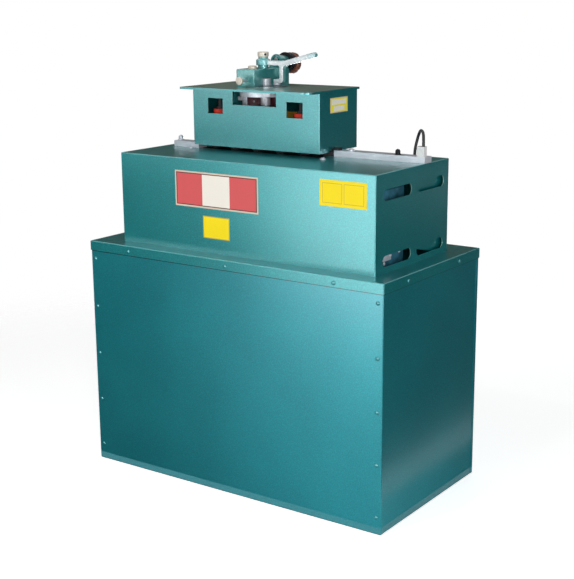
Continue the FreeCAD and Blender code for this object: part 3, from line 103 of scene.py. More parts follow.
class Finish:
    """One material, whose nodes all come from its node method."""

    def __init__(self, name, **constants):
        self.material = bpy.data.materials.new(name)
        self.material.use_nodes = True
        self.tree = self.material.node_tree
        self.shader = self.tree.nodes["Principled BSDF"]
        for socket, value in constants.items():
            self.shader.inputs[socket.replace("_", " ")].default_value = value

    def node(self, kind, settings, sockets, output=0):
        made = self.tree.nodes.new(kind)
        for setting, value in settings.items():
            setattr(made, setting, value)
        for socket, value in sockets.items():
            if isinstance(value, Flow):
                self.tree.links.new(value.socket, made.inputs[socket])
            else:
                made.inputs[socket].default_value = value
        return Flow(self, made.outputs[output])

    def where(self):
        return self.node("ShaderNodeTexCoord", {}, {}, "Object")

    def stretched(self, x, y, z):
        return self.node("ShaderNodeMapping", {}, {"Vector": self.where(), "Scale": (x, y, z)})

    def noise(self, scale, detail=3.0, place=None):
        return self.node("ShaderNodeTexNoise", {},
                         {"Vector": place or self.where(), "Scale": scale, "Detail": detail})

    def cells(self, scale):
        return self.node("ShaderNodeTexVoronoi", {"feature": "SMOOTH_F1"},
                         {"Vector": self.where(), "Scale": scale, "Smoothness": 0.6})

    def mix(self, factor, first, second):
        return self.node("ShaderNodeMix", {"data_type": "RGBA"},
                         {0: factor, 6: first, 7: second}, 2)

    def feed(self, socket, value):
        self.tree.links.new(value.socket, self.shader.inputs[socket])

    def relief(self, height, depth, strength):
        self.feed("Normal", self.node("ShaderNodeBump", {},
                                      {"Height": height, "Distance": depth, "Strength": strength}))


def shade(code):
    """A colour as a painter's chart gives it, in six hexadecimal digits, as linear light."""
    parts = [int(code[i:i + 2], 16) / 255 for i in (0, 2, 4)]
    return tuple(p / 12.92 if p < 0.04045 else ((p + 0.055) / 1.055) ** 2.4 for p in parts) + (1.0,)


def made_object(name, shape):
    thing = bpy.data.objects.new(name, shape)
    bpy.context.scene.collection.objects.link(thing)
    return thing


def plain_sheet(name, corners, material):
    mesh = bpy.data.meshes.new(name)
    mesh.from_pydata(corners, [], [(0, 1, 2, 3)])
    mesh.materials.append(material)
    return made_object(name, mesh)


floor_reach = 7.0
floor_fade_from = 1.3
floor_fade_to = 2.6
floor_lift = 0.62
floor_paint = Finish("studio_floor", Roughness=0.9)
spot = floor_paint.noise(3.0)
floor_paint.feed("Base Color", floor_paint.mix(spot, shade("f4f5f5"), shade("f8f8f8")))
apart = floor_paint.node("ShaderNodeVectorMath", {"operation": "LENGTH"},
                         {0: floor_paint.where()}, 1)
floor_out = floor_paint.tree.nodes["Material Output"]
clear = floor_paint.node("ShaderNodeBsdfTransparent", {}, {})
solid = Flow(floor_paint, floor_paint.shader.outputs[0])

# The camera sees a floor that glows a little, and the machine's own reflections don't.
direct = floor_paint.node("ShaderNodeLightPath", {}, {})
floor_glow = (floor_lift, floor_lift, floor_lift, 1)
floor_paint.feed("Emission Color", floor_paint.mix(direct, (0, 0, 0, 1), floor_glow))
floor_paint.shader.inputs["Emission Strength"].default_value = 1.0
blend = floor_paint.node("ShaderNodeMixShader", {},
                         {0: apart.step(floor_fade_from, floor_fade_to), 1: solid, 2: clear})
floor_paint.tree.links.new(blend.socket, floor_out.inputs["Surface"])
floor = plain_sheet("floor", [(-floor_reach, -floor_reach, 0), (floor_reach, -floor_reach, 0),
                              (floor_reach, floor_reach, 0), (-floor_reach, floor_reach, 0)],
                    floor_paint.material)


def dark_card(name, corners, deep, light, slope=None):
    """A dim sheet that only reflections see. With a slope of (x, y, from, to) it grows lighter
    that way."""
    paint = Finish(name, Roughness=1.0)
    share = paint.noise(0.8)
    if slope:
        place = paint.node("ShaderNodeVectorMath", {"operation": "DOT_PRODUCT"},
                           {0: paint.where(), 1: (slope[0], slope[1], 0)}, 1)
        share = place.step(slope[2], slope[3])
    paint.feed("Base Color", paint.mix(share, shade(deep), shade(light)))
    card = plain_sheet(name, corners, paint.material)
    for ray in ("visible_camera", "visible_diffuse", "visible_shadow", "visible_transmission"):
        setattr(card, ray, False)
    return card


card_lift = 0.02
card_table = (
    ("right_wall_card", [(4.5, -1.2, 0), (4.5, 4.5, 0), (4.5, 4.5, 3.5), (4.5, -1.2, 3.5)],
     "0c2c40", "143448"),
    ("far_wall_card", [(4.5, 4.5, 0), (1.5, 5.5, 0), (1.5, 5.5, 3.5), (4.5, 4.5, 3.5)],
     "0c2c40", "143448"),
    ("wall_card", [(-5.5, 1.5, 0.5), (1.5, 5.5, 0.5), (1.5, 5.5, 3.2), (-5.5, 1.5, 3.2)],
     "4a4a34", "5c5640"),
    ("left_card", [(-4.6, 1.0, card_lift), (-1.3, -3.2, card_lift), (-1.3, -3.2, 2.6),
                   (-4.6, 1.0, 2.6)], "06181c", "0a2226"),
    ("floor_card", [(-4.6, 1.0, card_lift), (0.6, 1.0, card_lift), (0.6, -3.2, card_lift),
                    (-4.6, -3.2, card_lift)], "06181c", "9eecf2", (1.0, -0.8, -0.2, 0.9)),
    ("right_card", [(0.7, -1.2, card_lift), (4.5, -1.2, card_lift), (4.5, 4.5, card_lift),
                    (0.7, 4.5, card_lift)], "0a2024", "10292c"),
    ("front_card", [(-1.3, -3.2, card_lift), (1.5, -3.5, card_lift), (1.5, -3.5, 3.0),
                    (-1.3, -3.2, 3.0)], "06181c", "0a2226"),
    ("near_card", [(0.7, -4.5, card_lift), (4.5, -4.5, card_lift), (4.5, -1.2, card_lift),
                   (0.7, -1.2, card_lift)], "0e2a30", "163a40"))
cards = [dark_card(*card) for card in card_table]

# The camera and reflections see a white surround, which lights the machine only dimly.
surround_light = 0.14
surround_seen = 1.0
surround = bpy.data.worlds.new("surround")
bpy.context.scene.world = surround
surround.use_nodes = True
sky = surround.node_tree
background = sky.nodes["Background"]
background.inputs["Color"].default_value = (1, 1, 1, 1)
rays = sky.nodes.new("ShaderNodeLightPath")
seen = rays.outputs["Is Camera Ray"]
for kind in ("Is Glossy Ray", "Is Transmission Ray"):
    either = sky.nodes.new("ShaderNodeMath")
    either.operation = "MAXIMUM"
    sky.links.new(seen, either.inputs[0])
    sky.links.new(rays.outputs[kind], either.inputs[1])
    seen = either.outputs[0]
strength = sky.nodes.new("ShaderNodeMapRange")
strength.inputs["To Min"].default_value = surround_light
strength.inputs["To Max"].default_value = surround_seen
sky.links.new(seen, strength.inputs["Value"])
sky.links.new(strength.outputs[0], background.inputs["Strength"])


def soft_lamp(name, place, aim, width, height, power, shape="RECTANGLE"):
    """An area lamp that lights and is reflected, but isn't seen by the camera."""
    lamp = bpy.data.objects.new(name, bpy.data.lights.new(name, "AREA"))
    bpy.context.scene.collection.objects.link(lamp)
    lamp.data.shape = shape
    lamp.data.size = width
    lamp.data.size_y = height
    lamp.data.energy = power
    lamp.location = place
    lamp.rotation_mode = "QUATERNION"
    lamp.rotation_quaternion = (Vector(place) - Vector(aim)).to_track_quat("Z", "Y")
    lamp.visible_camera = False


soft_lamp("front_lamp", (-0.3, -2.05, 0.72), (0.1, -0.2, 0.75), 1.6, 1.4, 18, "ELLIPSE")
soft_lamp("left_lamp", (-1.6, -2.05, 1.05), (0, -0.2, 1.0), 1.0, 0.5, 3.4, "ELLIPSE")
soft_lamp("fill_lamp", (2.3, -3.0, 1.5), (0, 0, 0.8), 0.6, 0.6, 30)
soft_lamp("edge_lamp", (2.4, -1.35, 0.65), (0.5, -0.1, 0.6), 0.8, 1.3, 20, "ELLIPSE")
soft_lamp("over_lamp", (-0.9, -1.6, 2.7), (0.1, -0.1, 0.9), 2.2, 0.18, 11)
soft_lamp("end_lamp", (3.2, 0.6, 1.5), (0.5, 0, 0.6), 1.6, 1.6, 10)
soft_lamp("back_lamp", (-1.1, 3.2, 0.36), (-0.1, 0.2, 0.6), 1.8, 0.6, 34, "ELLIPSE")
soft_lamp("top_lamp", (0.2, 0.4, 3.2), (0.1, 0, 0.9), 1.8, 1.4, 3)


# Stand and guards. Folded sheet steel, sprayed with a glossy blue-green hammertone enamel that
# shows fine dimples and flecks. The sheets are the frame's own solids. The cut edges of the
# openings that face forward or right carry a paler painted highlight, and the stand's panels a
# painted shadow under the lid's flange.
shadow_from = 0.0035
shadow_to = 0.0015


def hammertone(name, deep, light, dimple_scale=330.0, metal=0.54, seam=None):
    """Speckled enamel. From a hair below a seam's height upward it carries a painted shadow, dark
    teal for the shade in the gap under an overhanging edge."""
    enamel = Finish(name, IOR=1.6, Coat_IOR=1.8, Coat_Roughness=0.25)
    dimples = enamel.cells(dimple_scale)
    flecks = enamel.noise(900.0, 2.0)
    clouds = enamel.noise(4.0, 4.0)
    tone = dimples * 0.45 + flecks * 0.45 + clouds * 0.25
    colour = enamel.mix(tone.step(0.1, 1.0), shade(deep), shade(light))
    if seam:
        height = enamel.node("ShaderNodeSeparateXYZ", {}, {0: enamel.where()}, 2)
        painted_shadow = height.step(seam - shadow_from, seam - shadow_to)
        # Painted shadow: dark teal from a hair below the seam upward, for the shade under an
        # overhanging edge.
        colour = enamel.mix(painted_shadow, colour, shade("05272b"))
    enamel.feed("Base Color", colour)
    enamel.feed("Roughness", 0.30 + clouds * 0.10 - flecks * 0.04)
    enamel.feed("Metallic", metal + flecks * 0.12)
    enamel.feed("Coat Weight", 0.88 + clouds * 0.12)
    ripple = enamel.noise(70.0, 2.0)
    enamel.relief(dimples * 0.5 + ripple * 0.8, 0.0004, 0.28)
    return enamel.material


def dress(thing, finishes):
    """Gives an object its materials. finishes are pairs of a material and a test of a face's
    middle and direction, of which the last one that holds gives the material."""
    thing.data.materials.clear()
    for number, (material, test) in enumerate(finishes):
        thing.data.materials.append(material)
        for face in thing.data.polygons:
            if number == 0 or test(face.center, face.normal):
                face.material_index = number


def coat(node, material, *others):
    """Gives a node of the frame its finish."""
    dress(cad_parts[node], [(material, None), *others])


teal_enamel = hammertone("teal_hammertone", "006a73", "12a6a8")
lid_edge = 0.650
# The panels take a painted shadow just under the lid's flange.
panel_enamel = hammertone("panel_hammertone", "006876", "0ea4ae", seam=lid_edge)
# The table's top: a greyer enamel of its own, made paler as a painted reflection.
table_top_enamel_and_sheen = hammertone("table_top_enamel_and_sheen", "54807a", "9cbcae", 420.0, 0.35)
# Painted highlight: a paler enamel on the openings' cut edges that face forward or right.
painted_edge_highlight = hammertone("painted_edge_highlight", "6fb8ae", "b4e4da", 330.0, 0.1)
for node in ("stand_lid", "guard_baffles"):
    coat(node, teal_enamel)
guard_end = 0.432
guard_fold = -0.190
openings_end = 0.1
table_top = 1.1199


def slot_edge(at, facing):
    """Whether a face is a slot's cut edge, facing forward, in the main guard's right end."""
    return at.x > guard_end and facing.y < -0.3 and at.y > guard_fold


def window_edge(at, facing):
    """Whether a face is a cut edge of the head guard's front openings that faces right."""
    return facing.x > 0.5 and at.x < openings_end and at.y < 0


# The forward- and right-facing cut edges take the painted highlight.
coat("main_guard", teal_enamel, (painted_edge_highlight, slot_edge))
coat("head_guard", teal_enamel, (painted_edge_highlight, window_edge))
coat("table_plate", teal_enamel, (table_top_enamel_and_sheen, lambda at, facing: at.z > table_top))
for node in ("stand_front_panel", "stand_back_panel", "stand_end_panels"):
    coat(node, panel_enamel)


# Stand frame. Angle iron, sawn and welded and painted with a dark primer, with the motor's plate
# resting on two bearers.
def satin_paint(name, deep, light, roughness, grain=160.0, metal=0.0):
    """Paint, plastic or rubber with a low sheen, a little uneven."""
    paint = Finish(name)
    fine = paint.noise(grain, 3.0)
    clouds = paint.noise(9.0, 4.0)
    share = (fine * 0.5 + clouds * 0.7).step(0.35, 0.9)
    paint.feed("Base Color", paint.mix(share, shade(deep), shade(light)))
    paint.feed("Roughness", roughness + clouds * 0.12 - fine * 0.05)
    paint.feed("Metallic", metal + fine * 0.03)
    paint.relief(fine + clouds, 0.0003, 0.3)
    return paint.material


frame_primer = satin_paint("frame_primer", "23292b", "343b3d", 0.5)
coat("stand_frame", frame_primer)


# Cabinet screws. Domed heads with a square neck, enamelled with the sheets, five up each corner and
# more along the lid's flange.
screw_head_radius = 0.0058
screw_head_height = 0.0032
screw_neck = 0.0050
screw_grip = 0.0095
stand_half_width = 0.500
stand_half_depth = 0.262
stand_top = 0.678
lid_sheet = 0.002


class Growth:
    """One Geometry Nodes tree, whose nodes all come from its node method."""

    def __init__(self, name, **sizes):
        self.tree = bpy.data.node_groups.new(name, "GeometryNodeTree")
        sockets = self.tree.interface
        sockets.new_socket("Geometry", in_out="INPUT", socket_type="NodeSocketGeometry")
        sockets.new_socket("Geometry", in_out="OUTPUT", socket_type="NodeSocketGeometry")
        self.keys = {}
        for size, value in sizes.items():
            socket = sockets.new_socket(size, in_out="INPUT", socket_type="NodeSocketFloat")
            self.keys[size] = (socket.identifier, value)
        self.start = self.tree.nodes.new("NodeGroupInput")

    def given(self, size):
        return self.start.outputs[size]

    def node(self, kind, settings, sockets):
        made = self.tree.nodes.new(kind)
        for setting, value in settings.items():
            setattr(made, setting, value)
        for socket, value in sockets.items():
            if isinstance(value, bpy.types.NodeSocket):
                self.tree.links.new(value, made.inputs[socket])
            else:
                made.inputs[socket].default_value = value
        return made.outputs[0]

    def grown(self, name, seed_mesh, material, geometry):
        """Ends the tree, runs it on the seed mesh and gives the result as a plain object."""
        real = self.node("GeometryNodeRealizeInstances", {}, {0: geometry})
        dressed = self.node("GeometryNodeSetMaterial", {},
                            {"Geometry": real, "Material": material})
        end = self.tree.nodes.new("NodeGroupOutput")
        self.tree.links.new(dressed, end.inputs[0])
        carrier = made_object(name + "_seed", seed_mesh)
        modifier = carrier.modifiers.new("growth", "NODES")
        modifier.node_group = self.tree
        for identifier, value in self.keys.values():
            modifier[identifier] = value
        ready = carrier.evaluated_get(bpy.context.evaluated_depsgraph_get())
        mesh = bpy.data.meshes.new_from_object(ready)
        mesh.name = name
        carrier.modifiers.remove(modifier)
        bpy.data.objects.remove(carrier)
        return made_object(name, mesh)


def seats_mesh(name, seats):
    """A mesh of points, each with the direction that its screw faces."""
    mesh = bpy.data.meshes.new(name)
    mesh.from_pydata([place for place, _ in seats], [], [])
    facing = mesh.attributes.new("facing", "FLOAT_VECTOR", "POINT")
    for item, (_, direction) in zip(facing.data, seats):
        item.vector = direction
    return mesh


corner_inset = 0.016
corner_low = 0.047
corner_pitch = 0.1445
corner_rows = 5
flange_drop = 0.017
front_places = (-0.352, 0, 0.352)
end_places = (-0.140, 0.140)
flange_height = stand_top - flange_drop
screw_seats = []
for side in (-1, 1):
    for x in (-stand_half_width + corner_inset, stand_half_width - corner_inset):
        for row in range(corner_rows):
            seat = (x, side * stand_half_depth, corner_low + row * corner_pitch)
            screw_seats.append((seat, (0, side, 0)))
    for x in front_places:
        seat = (x, side * (stand_half_depth + lid_sheet), flange_height)
        screw_seats.append((seat, (0, side, 0)))
    for y in end_places:
        seat = (side * (stand_half_width + lid_sheet), y, flange_height)
        screw_seats.append((seat, (side, 0, 0)))


def domed_screws(name, radius, rise, side, grip):
    """The tree of a domed screw on a square neck, one on each seat."""
    growth = Growth(name, Head_Radius=radius, Head_Height=rise, Neck_Side=side, Neck_Length=grip)
    ball = growth.node("GeometryNodeMeshUVSphere", {}, {"Segments": 20, "Rings": 10, "Radius": 1.0})
    place = growth.node("GeometryNodeInputPosition", {}, {})
    parts = growth.node("ShaderNodeSeparateXYZ", {}, {0: place})
    raised = growth.node("ShaderNodeMath", {"operation": "MAXIMUM"},
                         {0: parts.node.outputs[2], 1: 0.0})
    wide = growth.given("Head_Radius")
    wide_x = growth.node("ShaderNodeMath", {"operation": "MULTIPLY"}, {0: parts, 1: wide})
    wide_y = growth.node("ShaderNodeMath", {"operation": "MULTIPLY"},
                         {0: parts.node.outputs[1], 1: wide})
    tall = growth.node("ShaderNodeMath", {"operation": "MULTIPLY"},
                       {0: raised, 1: growth.given("Head_Height")})
    spread = growth.node("ShaderNodeCombineXYZ", {}, {0: wide_x, 1: wide_y, 2: tall})
    dome = growth.node("GeometryNodeSetPosition", {}, {"Geometry": ball, "Position": spread})
    upper = growth.node("FunctionNodeCompare", {"data_type": "FLOAT", "operation": "GREATER_THAN"},
                        {0: tall, 1: 0.0})
    dome = growth.node("GeometryNodeSetShadeSmooth", {"domain": "FACE"},
                       {"Geometry": dome, "Selection": upper})
    neck_side = growth.given("Neck_Side")
    neck_length = growth.given("Neck_Length")
    neck_size = growth.node("ShaderNodeCombineXYZ", {},
                            {0: neck_side, 1: neck_side, 2: neck_length})
    neck = growth.node("GeometryNodeMeshCube", {}, {"Size": neck_size})
    lower = growth.node("ShaderNodeMath", {"operation": "MULTIPLY"}, {0: neck_length, 1: -0.5})
    down = growth.node("ShaderNodeCombineXYZ", {}, {2: lower})
    neck = growth.node("GeometryNodeTransform", {}, {"Geometry": neck, "Translation": down})
    whole = growth.tree.nodes.new("GeometryNodeJoinGeometry")
    growth.tree.links.new(dome, whole.inputs[0])
    growth.tree.links.new(neck, whole.inputs[0])
    facing = growth.node("GeometryNodeInputNamedAttribute", {"data_type": "FLOAT_VECTOR"},
                         {"Name": "facing"})
    turn = growth.node("FunctionNodeAlignRotationToVector", {"axis": "Z"}, {"Vector": facing})
    growth.screws = growth.node("GeometryNodeInstanceOnPoints", {},
                                {"Points": growth.start.outputs[0],
                                 "Instance": whole.outputs[0], "Rotation": turn})
    return growth


growth = domed_screws("domed_screw", screw_head_radius, screw_head_height, screw_neck,
                      screw_grip)
screw_enamel = hammertone("screw_enamel", "15747c", "2f9fa5", 500.0)
cabinet_screws = growth.grown("domed_cabinet_screws", seats_mesh("screw_seats", screw_seats),
                              screw_enamel, growth.screws)
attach(cabinet_screws, "machine")
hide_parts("cabinet_screws")


# Drive. A foot-mounted motor and a cast worm reducer in dark grey enamel, a cast iron pulley on
# each one's shaft, and a fabric-backed rubber V-belt round the two.
def steel(name, deep, light, roughness, grain, metal=0.95):
    """Bare steel with fine tool marks along one direction and a little oil."""
    metal_finish = Finish(name)
    marks = metal_finish.noise(1.0, 2.0, metal_finish.stretched(*grain))
    clouds = metal_finish.noise(14.0, 4.0)
    share = (marks * 0.5 + clouds * 0.6).step(0.3, 0.85)
    metal_finish.feed("Base Color", metal_finish.mix(share, shade(deep), shade(light)))
    metal_finish.feed("Roughness", roughness + clouds * 0.14 - marks * 0.06)
    metal_finish.feed("Metallic", metal - clouds * 0.08)
    metal_finish.relief(marks, 0.00012, 0.15)
    return metal_finish.material


cast_grey = satin_paint("motor_grey_enamel", "2c3436", "465052", 0.42, 220.0)
pulley_iron = steel("pulley_iron", "4a4c4e", "7d7f82", 0.36, (500.0, 500.0, 500.0))
belt_rubber = satin_paint("belt_rubber", "141414", "262524", 0.75, 600.0)
for node in ("motor_housing", "reducer_housing"):
    coat(node, cast_grey)
for node in ("motor_pulley", "reducer_pulley"):
    coat(node, pulley_iron)
coat("v_belt", belt_rubber)


# Roll train. Ground plates on a ground bed, and spindles between them with cut gears and hardened
# rolls, all bare steel with oil on it. The rolls' fronts, seen through the slot under the head,
# are painted near black as shade. The top plate is enamelled with the guards.
ground_plate = steel("ground_plate", "8c9092", "b4b8ba", 0.32, (900.0, 900.0, 40.0))
cut_gear = steel("cut_gear", "3c3a38", "6a6764", 0.38, (700.0, 60.0, 700.0))
for node in ("bed_plate", "front_bearing_plate", "rear_bearing_plate", "plate_spacers"):
    coat(node, ground_plate)
coat("top_plate", teal_enamel)
# Painted shade: the rolls' fronts are near black, for the dark slot under the head.
roll_steel_in_painted_shade = steel("roll_steel_in_painted_shade", "161618", "303033", 0.42, (700.0, 60.0, 700.0), 0.8)
roll_back = 0.056
for number in range(1, 6):
    for row in ("lower", "upper"):
        coat("%s_spindle_%d" % (row, number), cut_gear,
             (roll_steel_in_painted_shade, lambda at, facing: at.y < roll_back))
for number in range(1, 5):
    coat("idler_gear_%d" % number, cut_gear)
for node in ("drive_gear", "flanger_idler", "flanger_input_gear"):
    coat(node, cut_gear)


# Studs and cushion springs. Black studs in moulded red urethane springs, behind the head guard's
# two windows, beside the flanging head's maroon gear case and its yellow-plated bracket.
black_oxide = steel("black_oxide", "0d0d0f", "26262a", 0.38, (400.0, 400.0, 400.0), 0.75)
red_urethane = satin_paint("red_urethane", "aa1c02", "cc2a08", 0.7, 120.0)
maroon_enamel = satin_paint("maroon_enamel", "4a1f28", "6e303b", 0.30, 140.0, 0.1)
yellow_zinc = steel("yellow_zinc", "a87c2a", "d8ac4c", 0.45, (300.0, 300.0, 300.0), 0.3)
stud_black = satin_paint("stud_black", "08080a", "141416", 0.6, 300.0)
coat("table_studs", stud_black)
coat("cushion_springs", red_urethane)
coat("flanger_gearcase", maroon_enamel)
coat("gearcase_bracket", yellow_zinc)


# Flanging head casting. Cast iron under the same enamel, its edges rounded by the foundry, with the
# boss and the pillar in one piece with the block. Its enamel is a paler copy of the guards', with
# the light on the block painted in.
foundry_edge = 0.0008
join_reach = 0.00002
flat_within = math.radians(1.0)
sharp_edge = math.radians(35.0)
bevel_from = math.radians(40.0)
bevel_steps = 3


def merged_copy(name, node):
    """A copy of a node's mesh with its triangles joined and its flat faces whole."""
    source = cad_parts[node]
    shape = bmesh.new()
    shape.from_mesh(source.data)
    bmesh.ops.remove_doubles(shape, verts=shape.verts, dist=join_reach)
    bmesh.ops.dissolve_limit(shape, angle_limit=flat_within, verts=shape.verts, edges=shape.edges)
    mesh = bpy.data.meshes.new(name)
    shape.to_mesh(mesh)
    shape.free()
    if "custom_normal" in mesh.attributes:
        mesh.attributes.remove(mesh.attributes["custom_normal"])
    return made_object(name, mesh)


def settle(thing):
    """Applies the piece's modifiers and smooths its shading between sharp edges."""
    ready = thing.evaluated_get(bpy.context.evaluated_depsgraph_get())
    mesh = bpy.data.meshes.new_from_object(ready)
    thing.modifiers.clear()
    thing.data = mesh
    shape = bmesh.new()
    shape.from_mesh(mesh)
    for face in shape.faces:
        face.smooth = True
    for edge in shape.edges:
        edge.smooth = len(edge.link_faces) == 2 and edge.calc_face_angle(0) < sharp_edge
    shape.to_mesh(mesh)
    shape.free()


def softened(name, node, finishes, width, body="machine"):
    """A copy of a node with its sharp edges rounded, that stands for the node."""
    thing = merged_copy(name, node)
    bevel = thing.modifiers.new("edges", "BEVEL")
    bevel.width = width
    bevel.segments = bevel_steps
    bevel.limit_method = "ANGLE"
    bevel.angle_limit = bevel_from
    settle(thing)
    dress(thing, finishes)
    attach(thing, body)
    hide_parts(node)


# Painted light: the guards' teal, made paler and less metallic for the lit block.
casting_enamel_lit_paler = hammertone("casting_enamel_lit_paler", "237c7e", "52b2b0", 260.0, 0.22)
softened("flanging_head_casting", "flanger_body", [(casting_enamel_lit_paler, None)],
         foundry_edge)


# Flanging head steelwork. The wear disc, the driven spindle with its disc and the foot roller are
# turned from bright steel. The pivot stud's cap with its set screw's hole, the oil plug and the
# thumb screw are nickel plated. Inside the set screw's hole the cap is painted near black as
# shade.
turned_edge = 0.0006
plated_edge = 0.0007
hair = 0.0001
cap_bottom = 1.2034
collar_top = 1.1800
thumb_shank = -0.0035
polished = steel("polished_steel", "9fa6ab", "d4d9dc", 0.22, (200.0, 200.0, 200.0))
worn_steel = steel("worn_steel", "5a666c", "929ca2", 0.24, (200.0, 200.0, 200.0), 0.75)
turned_steel = steel("turned_steel", "b4bac2", "e2e6ec", 0.36, (200.0, 200.0, 200.0), 0.45)
nickel = steel("satin_nickel", "c9bfb0", "efe7da", 0.40, (200.0, 200.0, 200.0), 0.35)
collar_enamel = satin_paint("collar_enamel", "4f9c9c", "9fd0d0", 0.18, 200.0, 0.5)
# Painted shade: near black on the walls of the cap's set screw hole.
socket_painted_shade = steel("socket_painted_shade", "08080a", "17171a", 0.5, (400.0, 400.0, 400.0), 0.5)
cap_middle = Vector((-0.108, 0.071, 0))
socket_low = cap_bottom + 0.0030
socket_high = cap_bottom + 0.0105
socket_reach = 0.0152


def in_socket(at, facing):
    """Whether a face of the cap lies inside its set screw's hole."""
    return socket_low < at.z < socket_high and (at - cap_middle).xy.length < socket_reach


coat("wear_disc", worn_steel)
softened("roller_and_drive_disc", "flanger_spindle", [(turned_steel, None)],
         turned_edge, body="flanger_spindle")
softened("foot_roller_turned", "foot_roller", [(turned_steel, None)],
         turned_edge, body="foot_roller")
softened("pivot_stud_and_cap", "pivot_stud",
         [(polished, None), (collar_enamel, lambda at, facing: at.z < collar_top),
          (nickel, lambda at, facing: at.z > cap_bottom - hair), (socket_painted_shade, in_socket)],
         plated_edge)
softened("oil_plug_turned", "oil_plug", [(nickel, None)], plated_edge)
softened("thumb_screw_turned", "thumb_screw",
         [(nickel, None), (turned_steel, lambda at, facing: at.y > thumb_shank)], plated_edge,
         body="thumb_screw")


# Lever. One casting that swings on the pivot stud: bright along the arm, the drop arm and the
# handle, and greener round its hub, where it is painted. Towards the handle's end a teal reflection
# is painted on, and the faces that don't look forward take a teal enamel.
lever_edge = 0.0014
hub_from, hub_to = -0.098, -0.078
handle_from, handle_to = 0.030, 0.085


def lever_finish():
    """Bright cast metal, tinted with paint round the hub, and with a painted teal reflection along
    the handle's end.
    """
    metal = Finish("lever_casting")
    grain = metal.noise(160.0, 3.0)
    clouds = metal.noise(22.0, 4.0)
    along = metal.node("ShaderNodeSeparateXYZ", {}, {0: metal.where()})
    # Real paint round the hub, and a painted teal reflection towards the handle's end.
    paint_and_reflection = 1.0 - along.step(hub_from, hub_to) + along.step(handle_from, handle_to) * 0.55
    share = (grain * 0.5 + clouds * 0.6).step(0.3, 0.85)
    bright = metal.mix(share, shade("c3ccd0"), shade("eef2f4"))
    teal = metal.mix(grain, shade("4fa2a6"), shade("9cd0d2"))
    metal.feed("Base Color", metal.mix(paint_and_reflection, bright, teal))
    metal.feed("Roughness", 0.34 + clouds * 0.14)
    metal.feed("Metallic", 0.55 - clouds * 0.1)
    metal.relief(grain, 0.00015, 0.3)
    return metal.material


lever_paint = hammertone("lever_paint", "3d9a9c", "8fcccc", 260.0, 0.2)
softened("lever_casting", "flanger_lever",
         [(lever_finish(), None), (lever_paint, lambda at, facing: facing.y > -0.7)],
         lever_edge, body="flanger_lever")


# Tension spring and its knob. Black wire between the boss and the knob, which is moulded in brown
# phenolic on a steel screw with the spring's washer.
phenolic = satin_paint("brown_phenolic", "6b3526", "96583f", 0.34, 200.0)
knob_edge = 0.0009
knob_near = 0.1798
washer_near = 0.155
spring_wire = steel("spring_wire", "1c1d22", "3c3f48", 0.20, (300.0, 300.0, 300.0), 0.8)
coat("tension_spring", spring_wire)
softened("tension_knob_moulded", "tension_knob",
         [(phenolic, None), (black_oxide, lambda at, facing: at.y < knob_near),
          (polished, lambda at, facing: at.y < washer_near)], knob_edge, body="tension_knob")


# Guides. Milled aluminium bars bolted to the guard's top, with bright and blackened bolts, and the
# moulded black shoe at the entry.
guide_metal = steel("guide_aluminium", "c4c8d2", "e6e9f0", 0.34, (40.0, 700.0, 700.0), 0.5)
black_plastic = satin_paint("black_plastic", "101012", "222225", 0.4, 300.0)
coat("entry_guide", guide_metal)
coat("exit_guide", guide_metal)
coat("entry_shoe", black_plastic)
black_bolt_from, black_bolt_to = 0.340, 0.370
coat("guide_bolts", turned_steel,
     (black_oxide, lambda at, facing: black_bolt_from < at.x < black_bolt_to))


# Limit switch. A pale moulded box on the entry bar, and the lead that loops from its top to a gland
# in the guard.
white_plastic = satin_paint("white_plastic", "d9dadb", "efefef", 0.35, 240.0)
lead_sheath = satin_paint("lead_sheath", "111114", "242429", 0.42, 420.0)
coat("limit_switch", white_plastic)
coat("lead_gland", black_plastic)
lead_diameter = 0.008
lead_start = Vector((0.4335, 0.04825, 0.982))
lead_end = Vector((0.385, 0.0875, 0.947))
loop_size = 0.040
gland_rise = 0.0189
loop_steps = ((0, 0, 0.465), (-0.18, 0.272, 0.89), (-0.535, 0.625, 1), (-0.772, 0.885, 0.885),
              (-1.038, 1.108, 0.513))
lead_points = [lead_start, *(lead_start + loop_size * Vector(step) for step in loop_steps),
               lead_end + Vector((0, 0, gland_rise)), lead_end]


def lead_curve(name, points, diameter, material):
    """A round lead that runs smoothly along its points from the first to the last."""
    curve = bpy.data.curves.new(name, "CURVE")
    curve.dimensions = "3D"
    spline = curve.splines.new("NURBS")
    spline.points.add(len(points) - 1)
    for item, place in zip(spline.points, points):
        item.co = (*place, 1)
    spline.order_u = 3
    spline.use_endpoint_u = True
    spline.resolution_u = 16
    curve.bevel_depth = diameter / 2
    curve.bevel_resolution = 6
    curve.use_fill_caps = True
    curve.materials.append(material)
    return made_object(name, curve)


switch_lead = lead_curve("switch_lead_curve", lead_points, lead_diameter, lead_sheath)
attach(switch_lead, "machine")
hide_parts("switch_lead")


# Control box. It stands on the lid inside the guard and shows through the end's front slots: a navy
# moulded box on a bright foot, with a bright cover plate held by domed screws.
box_front = 0.424
cover_front = 0.4256
box_bevel_steps = 4
navy_plastic = satin_paint("navy_plastic", "17404f", "3d7f96", 0.30, 60.0)


def rounded_box(name, low, high, material, edge):
    """A box between two corners with rounded edges, that rides on the machine."""
    low, high = Vector(low), Vector(high)
    shape = bmesh.new()
    made = bmesh.ops.create_cube(shape, size=1.0)
    bmesh.ops.scale(shape, vec=high - low, verts=made["verts"])
    bmesh.ops.translate(shape, vec=(high + low) / 2, verts=made["verts"])
    mesh = bpy.data.meshes.new(name)
    shape.to_mesh(mesh)
    shape.free()
    mesh.materials.append(material)
    thing = made_object(name, mesh)
    bevel = thing.modifiers.new("edges", "BEVEL")
    bevel.width = edge
    bevel.segments = box_bevel_steps
    settle(thing)
    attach(thing, "machine")


